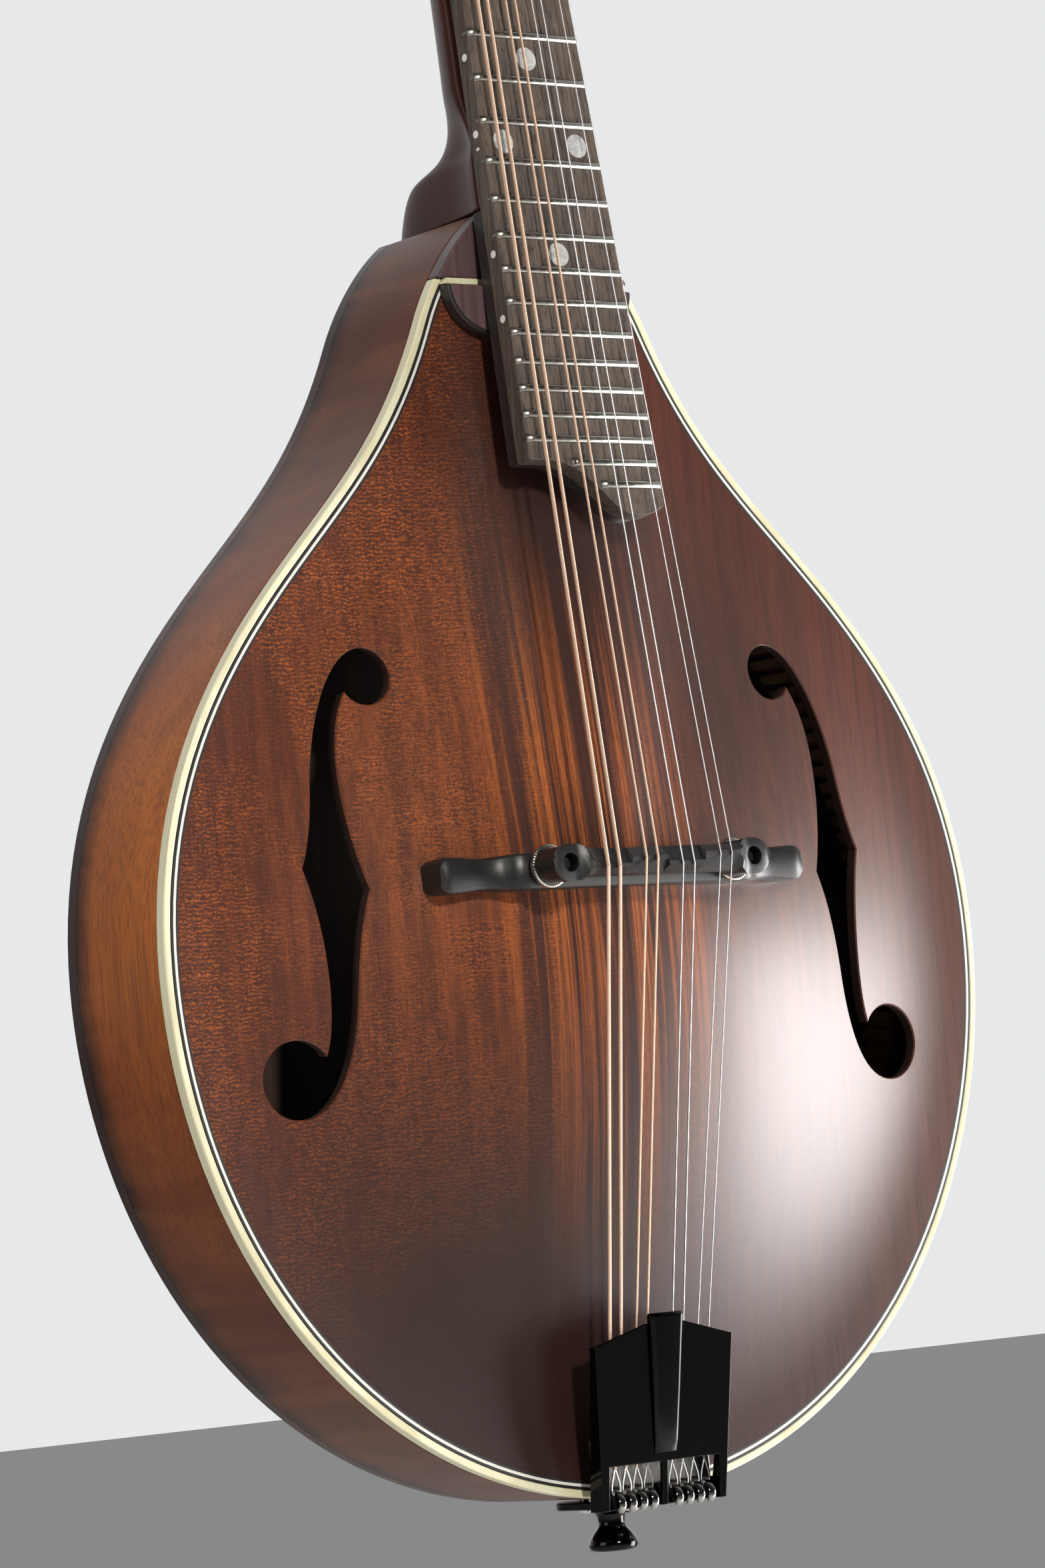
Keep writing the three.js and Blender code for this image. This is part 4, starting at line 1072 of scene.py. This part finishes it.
def build_riser():
    """The black support under the board's end, and its flared foot on the soundboard."""
    riser = slab(board_outline(165, 0.5), BOARD_UNDER, BOARD_UNDER + 4, on_board)
    foot_line = np.vstack([
        [(-29, 144.9)], bezier([(-29, 144.9), (-28.5, 137), (-22, 132.4), (-13, 131.8)], 14),
        [(13, 131.8)], bezier([(13, 131.8), (22, 132.4), (28.5, 137), (29, 144.9)], 14)])
    foot = skin([[at(x, -3.7, z) for x, z in foot_line],
                 [at(x, top_y(x, z) - 0.15, z) for x, z in foot_line]])
    inlay_line = [(x * 0.965, 144.85 - (144.85 - z) * 0.93) for x, z in foot_line]
    inlay = skin([[at(x, y, z) for x, z in inlay_line] for y in (-3.82, -3)])
    piece("Riser_foot_top", *inlay, "plate", slot="ebony", bevel=0.2)
    web_line = [(-14.5, 134), (14.5, 134), (15.5, 144.9), (15.5, 163.4), (-15.5, 163.4), (-15.5, 144.9)]
    web = skin([[at(x, BOARD_PLANE_Y + z * tan(BOARD_TILT) + 8, z) for x, z in web_line],
                [at(x, -1.6 if z > 140 else -3, z) for x, z in web_line]])
    piece("Riser_support", *riser, "satin_black", nodes=["fingerboard_riser"], bevel=0.4)
    piece("Riser_foot", *foot, "satin_black", bevel=0.5)
    piece("Riser_web", *web, "satin_black", bevel=0.3)


# ---------------------------------------------------------------- bridge

def build_bridge():
    half_z, half_x = 4.3, 57
    top = smooth_line([(0, -20.9), (22, -20.9), (34, -20.9), (36.5, -20.2), (39.5, -17.9), (44, -16.9),
                       (51, -16.6), (55.5, -16.5), (57, -16.2)], 6)
    rings = []
    for x in np.linspace(-half_x, half_x, 77):
        crown = np.interp(abs(x), top[:, 0], top[:, 1])
        pinch = 1 - 0.16 * exp(-((abs(x) - 44) / 5.5) ** 2)
        pinch *= 1 - 0.35 * max(0, (abs(x) - 54.5) / 2.5) ** 2
        half = half_z * pinch
        low = [top_y(x, BRIDGE_Z + dz) - 0.06 for dz in (half, -half)]
        rings.append([at(x, y, BRIDGE_Z + z) for y, z in (
            (crown + 0.5, half), (crown, half - 0.7), (crown, 0.7 - half), (crown + 0.5, -half),
            ((crown + low[1]) / 2, -half - 0.25), (low[1], -half), (low[0], half),
            ((crown + low[0]) / 2, half + 0.25))])
    piece("Bridge_base_carved", *skin(rings), "ebony", nodes=["bridge_base"], sharp=38)
    build_saddle()
    for name, side in SIDES:
        x = side * BRIDGE_POST_X
        thread = [(0.1, -16.6)]
        for turn in range(18):
            y = -16.6 - turn * THREAD_PITCH
            thread += [(1.75, y), (1.45, y - THREAD_PITCH / 2)]
        thread += [(1.5, -28.7), (0.1, -28.8)]
        # the posts take the darkened steel: a painted shade for the shadow in the saddle's holes
        piece(f"Bridge_post_{name}_threaded", *turned(thread, at, 20, x, SADDLE_Z), "dark_steel",
              nodes=[f"bridge_post_{name}"], sharp=25)
        knurled_wheel(name, x)


def knurled_wheel(name, x):
    """A wheel with a knurled edge, bored for its post."""
    teeth = 44
    low, high = SADDLE_UNDER + 0.05, SADDLE_UNDER + 1.65

    def ring(radius, y, depth):
        radii = [radius - depth, radius - depth, radius, radius] * teeth
        return [at(x + r * cos(a), y, SADDLE_Z + r * sin(a)) for r, a in zip(radii, around(4 * teeth))]

    rings = [ring(2, low, 0), ring(4.9, low, 0), ring(5.35, low + 0.25, 0.16),
             ring(5.35, high - 0.25, 0.16), ring(4.9, high, 0), ring(2, high, 0)]
    piece(f"Thumbwheel_{name}_knurled", *skin(rings, closed=True), "nickel",
          body=f"thumbwheel_{name}", nodes=[f"thumbwheel_{name}"], sharp=28)


def crest_z(x):
    """Where the strings break over the saddle: stepped so that each course plays in tune."""
    if x < -11.5:
        return SADDLE_Z - 1.4
    if x < 0:
        return SADDLE_Z + 0.3
    if x < 11.5:
        return SADDLE_Z - 1.2
    return SADDLE_Z + 0.9


def saddle_height(x):
    """The crown of the saddle, sloping down to the drilled ends."""
    return SADDLE_TOP + 2.2 * ease((abs(x) - 22.6) / 4.2)


def build_saddle():
    """A bar with rounded, drilled ends; its crest is faceted for each course."""
    end = 34
    stops = sorted({*np.linspace(-end, end, 69), -11.7, -11.3, -0.2, 0.2, 11.3, 11.7,
                    *[side * (end - d) for side in (-1, 1) for d in (0.08, 0.3, 0.65)]})
    rings = []
    for x in stops:
        over = max(0, abs(x) - BRIDGE_POST_X) / (end - BRIDGE_POST_X)
        boss = ease((abs(x) - 21.5) / 5)
        half = (3.15 + boss) * sqrt(max(0.012, 1 - over ** 2.3))
        top = saddle_height(x)
        offset = (crest_z(x) - SADDLE_Z) * (1 - boss)
        flat = 0.45 * (1 - boss) + half * 0.66 * boss
        shoulder = (SADDLE_TOP + 2.9) * (1 - boss) + (top + 1.5) * boss
        soft = (SADDLE_TOP + 1.6) * (1 - boss) + (top + 0.4) * boss
        mid = (flat + half) / 2 + 0.25 * boss * half
        lean = offset * (1 - boss)
        rings.append([at(x, y, SADDLE_Z + z) for y, z in (
            (SADDLE_UNDER, half - 0.3), (SADDLE_UNDER - 0.3, half), (shoulder, half),
            (soft, mid + lean / 2), (top, offset + flat), (top, offset - flat),
            (soft, lean / 2 - mid), (shoulder, -half), (SADDLE_UNDER - 0.3, -half),
            (SADDLE_UNDER, 0.3 - half))])
    saddle = piece("Bridge_saddle_carved", *skin(rings), "ebony", body=None, sharp=24)
    for side in (-1, 1):
        drill(saddle, turned([(2.3, -40), (2.3, -20)], at, 32, side * BRIDGE_POST_X, SADDLE_Z))
    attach(saddle, "saddle")
    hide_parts("bridge_saddle")


def drill(obj, cutter_skin):
    """Cuts a closed skin out of a piece and keeps the result."""
    mesh = mesh_of("cutter", *cutter_skin)
    weld(mesh)
    cutter = placed("cutter", mesh)
    cut = obj.modifiers.new("Cut", "BOOLEAN")
    cut.operation = "DIFFERENCE"
    cut.solver = "EXACT"
    cut.object = cutter
    bpy.context.view_layer.update()
    graph = bpy.context.evaluated_depsgraph_get()
    result = bpy.data.meshes.new_from_object(obj.evaluated_get(graph))
    obj.modifiers.remove(cut)
    old, obj.data = obj.data, result
    bpy.data.meshes.remove(old)
    bpy.data.objects.remove(cutter)
    shade(result, 24)


# ---------------------------------------------------------------- tailpiece

TAIL_TOP = (-117.3, -13.8)              # (z, y) at the shoulders of the leaning face
TAIL_BOTTOM = (-155.2, -8.7)
TAIL_SLOPE = (TAIL_BOTTOM[1] - TAIL_TOP[1]) / (TAIL_BOTTOM[0] - TAIL_TOP[0])
FACE_TOP_Z = -113
TAIL_END_Z = -157.2
WINDOW_Z = -146.6
HOOK_X = [-14.1, -10.7, -7.3, -3.9, 3.9, 7.3, 10.7, 14.1]


def tail_face(x, y, z):
    """y = 0 on the tailpiece's leaning face."""
    return at(x, TAIL_TOP[1] + (z - TAIL_TOP[0]) * TAIL_SLOPE + y, z)


def bent_strip(x, path):
    """A hook: a strip bent through (y, z, half width, half thickness) stations, with soft corners."""
    rings = []
    for i, (y, z, half, thick) in enumerate(path):
        y0, z0 = path[max(i - 1, 0)][:2]
        y1, z1 = path[min(i + 1, len(path) - 1)][:2]
        length = hypot(y1 - y0, z1 - z0)
        across = ((z1 - z0) / length, -(y1 - y0) / length)
        ring = []
        for a in around(16):
            dx = half * power(cos(a), 0.45)
            dt = thick * power(sin(a), 0.45)
            ring.append(at(x + dx, y + dt * across[0], z + dt * across[1]))
        rings.append(ring)
    return skin(rings)


def build_tailpiece():
    right = [(5.9, FACE_TOP_Z), (21.6, TAIL_TOP[0]), (19.4, TAIL_END_Z), (17.3, TAIL_END_Z),
             (17.3, WINDOW_Z), (0.9, WINDOW_Z), (0.9, TAIL_END_Z)]
    left = [(-x, z) for x, z in right[::-1]]
    plate = left[-2:] + right + left[:-2]
    piece("Tailpiece_face", *slab(plate, 0, 1.2, tail_face), "dark_metal", bevel=0.28, nodes=["tailpiece"])
    for name, side in SIDES:
        rings = [[tail_face(side * (x - dx), y, z) for dx, y in (
            (0, 0.25), (1, 0.3), (1, deep), (0, deep))]
            for z, x, deep in ((-117.25, 21.62, 2.2), (TAIL_END_Z, 19.42, 5.2))]
        piece(f"Tailpiece_flange_{name}", *skin(rings), "dark_metal", bevel=0.15)
    rib = [[tail_face(x * wide, y, z) for x, y in (
        (-1, 0.45), (-1, -rise * 0.55), (-0.82, -rise), (-0.3, -rise * 1.1), (0.3, -rise * 1.1),
        (0.82, -rise), (1, -rise * 0.55), (1, 0.45))]
        for z, wide, rise in ((-110.6, 5, 0.9), (-111.4, 5.2, 1.5), (-118, 4.7, 1.55), (-130, 4.1, 1.4),
                              (-142, 3.5, 0.9), (-144.5, 3.4, 0.3))]
    piece("Tailpiece_rib", *skin(rib), "dark_metal", bevel=0.2, sharp=28)
    piece("Tailpiece_hook_bar", *block((-18.3, 18.3), (-6.6, -5.2), (TAIL_END_Z, -151.8)), "dark_metal",
          bevel=0.25)
    piece("Tailpiece_underlay", *block((-18.3, 18.3), (-4.4, -3.4), (TAIL_END_Z, -140)), "nickel",
          bevel=0.25)
    edge = arc((0, 17), 1, 0, pi, 20) * (12, 9.5) + (0, 17 - 17 * 9.5)
    foot_line = [(-12, -7), (12, -7), *[tuple(p) for p in edge]]
    foot = skin([[at(x, y, z) for x, y in foot_line] for z in (TAIL_END_Z, -155.3)])
    piece("Tailpiece_foot", *foot, "dark_metal", bevel=0.4)
    for k, x in enumerate(HOOK_X):
        stations = [(-6.2, -152, 0.95, 0.45), (-6.9, -152.4, 0.95, 0.5), (-7.9, -153.2, 0.95, 0.5),
                    (-8.7, -154.1, 1, 0.5), (-9.1, -154.9, 1.08, 0.5), (-9.2, -155.9, 1.1, 0.5),
                    (-9, -156.9, 1, 0.48), (-8.5, -157.6, 0.8, 0.4)]
        piece(f"Tailpiece_hook_{k + 1}", *bent_strip(x, stations), "chrome", sharp=40)
    for number, y in ((1, 5.6), (2, 23.3)):
        profile = [(0.1, -144.4), (1.4, -147), (1.4, -157.25), (2.3, -157.25), (2.3, -157.7), (1.9, -158.4),
                   (1, -158.8), (0.1, -158.9)]
        piece(f"Tailpiece_screw_{number}_domed", *turned_z(profile, y, 24), "nickel",
              nodes=[f"tailpiece_screw_{number}"], sharp=40)
    pin = smooth_line([(5, -168), (5.8, -167.5), (6.1, -166.4), (5.8, -165.2), (4.9, -163.8),
                       (3.7, -162.4), (3.3, -160.9), (3.6, -159.3), (4.5, -158.2), (5.2, -157.3)], 5)
    profile = [(0.1, -168), *pin, (3, -157.28), (2.6, -142.2), (0.1, -142)]
    piece("End_pin_turned", *turned_z(profile, PIN_Y, 48), "dark_metal", nodes=["end_pin"], sharp=50)


# ---------------------------------------------------------------- tuning machines

def tuner_places():
    """(number, side, x, z) of each string post, bass side first."""
    return [(1 + k + (4 if side > 0 else 0), side, side * POST_X, z)
            for side in (-1, 1) for k, z in enumerate(POST_Z)]


def build_tuner_plates():
    low, high = HEAD_THICKNESS + 0.05, HEAD_THICKNESS + 1.25
    for name, side in SIDES:
        ends = [(side * (POST_X - 5.8), 23), (side * (POST_X + 5.6), 23),
                (side * (POST_X + 5.6), 117), (side * (POST_X - 5.8), 117)]
        piece(f"Tuner_plate_{name}_sheet", *slab(ends, low, high, on_head), "nickel",
              nodes=[f"tuner_plate_{name}"], bevel=0.35)
        for k, z in enumerate(POST_Z):
            middle = z + WORM_OFFSET
            for part, inner, outer in (("in", -5.8, -4.4), ("out", 4.2, 5.6)):
                flank = ((high - 0.1, 2.6), (high + 1.2, 2.2), (WORM_Y + 1, 2), (WORM_Y + 1.9, 1.4))
                ear = [*[(y, middle - dz) for y, dz in flank], (WORM_Y + 2.2, middle),
                       *[(y, middle + dz) for y, dz in flank[::-1]]]
                xs = sorted((side * (POST_X + inner), side * (POST_X + outer)))
                piece(f"Tuner_ear_{name}_{part}_{k + 1}", *rails(ear, *xs, on_head), "nickel", bevel=0.2)
        for k, z in enumerate((26, 51, 74, 97, 114)):
            piece(f"Plate_screw_{name}_{k + 1}", *turned(
                [(0.1, high + 0.75), (1.2, high + 0.65), (1.7, high + 0.05), (1.7, high - 0.6),
                 (0.1, high - 0.6)], on_head, 20, side * (POST_X - 3.6), z), "nickel")


def gear_rings(x, z):
    """Two rings of teeth, leaning with the worm's thread."""
    rings = []
    teeth, tip, root, tip_half, lean = 16, 6.2, 4.4, 0.27, 0.0274
    for y, twist in ((WORM_Y - 1.1, -lean), (WORM_Y + 1.1, lean)):
        ring = []
        for tooth in range(teeth):
            middle = (tooth + 0.5) * 2 * pi / teeth
            for radius, angle in ((root, middle - pi / teeth), (root + 0.35, middle - 0.13),
                                  (tip, middle - tip_half / tip), (tip, middle + tip_half / tip),
                                  (root + 0.35, middle + 0.13)):
                ring.append(on_head(x + radius * sin(angle + twist), y, z + radius * cos(angle + twist)))
        rings.append(ring)
    return rings


def build_posts():
    for number, side, x, z in tuner_places():
        post = [(0.1, -13.5), (2.4, -13.5), (2.9, -13), (3, -12), (2.95, -10.8), (2.55, -9.6),
                (2.5, -7.6), (2.75, -6), (3, -4.6), (3, WORM_Y + 1), (0.1, WORM_Y + 1)]
        piece(f"Tuner_post_{number}_turned", *turned(post, on_head, 28, x, z), "nickel",
              body=f"post_{number}", nodes=[f"tuner_post_{number}"], sharp=40)
        piece(f"Tuner_gear_{number}", *skin(gear_rings(x, z)), "nickel", body=f"post_{number}", bevel=0.1)
        top = WORM_Y + 1.1
        piece(f"Gear_screw_{number}", *turned(
            [(0.1, top + 0.9), (1.4, top + 0.85), (2.1, top + 0.5), (2.1, top - 0.3), (0.1, top - 0.3)],
            on_head, 20, x, z), "nickel", body=f"post_{number}")
        ferrule = [(3.15, -OVERLAY + 1), (4.3, -OVERLAY + 1), (4.5, -OVERLAY - 0.3),
                   (4.2, -OVERLAY - 0.8), (3.4, -OVERLAY - 0.9), (3.15, -OVERLAY - 0.6)]
        piece(f"Ferrule_{number}", *turned(ferrule, on_head, 32, x, z, closed=True), "nickel")
        coil_string(number, side, x, z, STRINGS[number - 1 if side < 0 else 12 - number][2])


def coil_string(number, side, x, z, radius):
    """Three turns of string wound on the post, which turn with it."""
    reach = 2.6 + radius
    points = [on_head(x - side * reach * cos(a), -8 + (a / (2 * pi)) * (2 * radius + 0.08),
                      z - reach * sin(a)) for a in np.linspace(0, 6 * pi, 64)]
    piece(f"String_coil_{number}", *tube(points, radius, 8), string_finish(radius),
          body=f"post_{number}", sharp=60)


def build_knobs():
    for number, side, x, z in tuner_places():
        middle = z + WORM_OFFSET

        def ring(along, ry, rz, count=28):
            return [on_head(x + side * along, WORM_Y + ry * cos(a), middle + rz * sin(a))
                    for a in around(count)]

        shaft = [(-6.3, 0.9), (-6.1, 1.3), (11, 1.3), (11.1, 1.9), (12.2, 2.1), (12.6, 2)]
        piece(f"Tuner_shaft_{number}", *skin([ring(a, r, r) for a, r in shaft]), "nickel",
              body=f"knob_{number}", sharp=40)
        worm = []
        for step in range(-22, 23):
            angle = step / 24 * 2 * pi
            along = step / 24 * WORM_PITCH
            worm.append([on_head(x + (along + dx), WORM_Y + r * sin(angle), middle - r * cos(angle))
                         for dx, r in ((-0.62, 1.1), (-0.15, 2.9), (0.15, 2.9), (0.62, 1.1))])
        piece(f"Tuner_worm_{number}", *skin(worm), "nickel", body=f"knob_{number}", sharp=30)
        button = smooth_line([(12.1, 1.6, 2.2), (12.6, 2.6, 4.4), (14.2, 3.35, 6.6), (17.6, 3.85, 8),
                              (21.2, 3.5, 7.5), (23.6, 2.6, 5.9), (24.6, 1.2, 3.2)], 4)
        piece(f"Tuner_button_{number}", *skin([ring(*row, 36) for row in button]), "button",
              body=f"knob_{number}", nodes=[f"tuner_knob_{number}"], sharp=60)


# ---------------------------------------------------------------- strings

# x on the saddle, x at the nut, radius, the side of the headstock and the post's row
STRINGS = [(-19.7, -11.6, 0.5, -1, 0), (-16.1, -9, 0.5, -1, 1), (-7.5, -4.7, 0.33, -1, 2),
           (-3.9, -2.1, 0.33, -1, 3), (3.9, 2.1, 0.21, 1, 3), (7.5, 4.7, 0.21, 1, 2),
           (16.1, 9, 0.15, 1, 1), (19.7, 11.6, 0.15, 1, 0)]


def string_finish(radius):
    """The two lower courses are wound, the others plain."""
    return "bronze" if radius > 0.3 else "steel"


def evenly(a, b, count):
    return [a.lerp(b, t) for t in np.linspace(0, 1, count + 1)]


def build_strings():
    """Each string in two lengths that meet on the saddle, and a loop round its hook."""
    for k, (saddle_x, nut_x, radius, side, row) in enumerate(STRINGS):
        hook_x = HOOK_X[k]
        finish = string_finish(radius)
        crest = at(saddle_x, SADDLE_TOP - radius - 0.02, crest_z(saddle_x))
        edge = tail_face(hook_x + 0.25 * (saddle_x - hook_x), 1.45 + radius, FACE_TOP_Z)
        twist = at(hook_x, -7.4, -147.2)
        lower = evenly(twist, edge, 8)[:-1] + evenly(edge, crest, 40)
        tail = piece(f"String_{k + 1}_tail", *tube(lower, radius, 10), finish, body=None,
                     nodes=[f"string_{k + 1}"], sharp=60)
        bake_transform(tail)
        on_nut = on_board(nut_x, -1.75 - radius, SCALE_LENGTH + 0.6)
        play = piece(f"String_{k + 1}_playing", *tube(evenly(crest, on_nut, 120), radius, 10), finish,
                     body=None, sharp=60)
        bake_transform(play)
        post_x = side * (POST_X - 2.6 - radius)
        at_post = on_head(post_x, -8, POST_Z[row])
        piece(f"String_{k + 1}_head", *tube(evenly(on_nut, at_post, 6), radius, 10), finish, sharp=60)
        wire = max(0.16, 0.55 * radius)
        loop = [twist] + [at(hook_x + side_x, y, z) for side_x, y, z in (
            (0.5, -7.4, -148.6), (1.15, -7.3, -150.6), (1.3, -7.2, -152.2), (0.9, -7.3, -153.3),
            (-0.9, -7.3, -153.3), (-1.3, -7.2, -152.2), (-1.15, -7.3, -150.6), (-0.5, -7.4, -148.6))]
        piece(f"String_{k + 1}_loop", *tube(smooth_points(loop), wire, 8, closed=True), "steel", sharp=60)
        coil = [twist.lerp(edge, 0.02 + 0.16 * t / 40) + Vector((
            (radius + 0.14) * cos(t * 0.9) * MM, (radius + 0.14) * sin(t * 0.9) * MM, 0))
            for t in range(41)]
        piece(f"String_{k + 1}_twist", *tube(coil, 0.16, 6), finish, sharp=60)


def smooth_points(points, steps=4):
    """More points round a closed loop, on a Catmull-Rom curve."""
    count, out = len(points), []
    for i in range(count):
        near = [points[(i + k) % count] for k in (-1, 0, 1, 2)]
        out += [catmull(*near, t) for t in np.linspace(0, 1, steps, endpoint=False)]
    return out


# ---------------------------------------------------------------- build

MATERIALS = make_materials()
for build in (aim_camera, light_stage, lay_floor, build_plates, build_rims, build_shoulder,
              build_neck, build_board, build_bridge, build_tailpiece, build_tuner_plates,
              build_posts, build_knobs, build_strings):
    build()
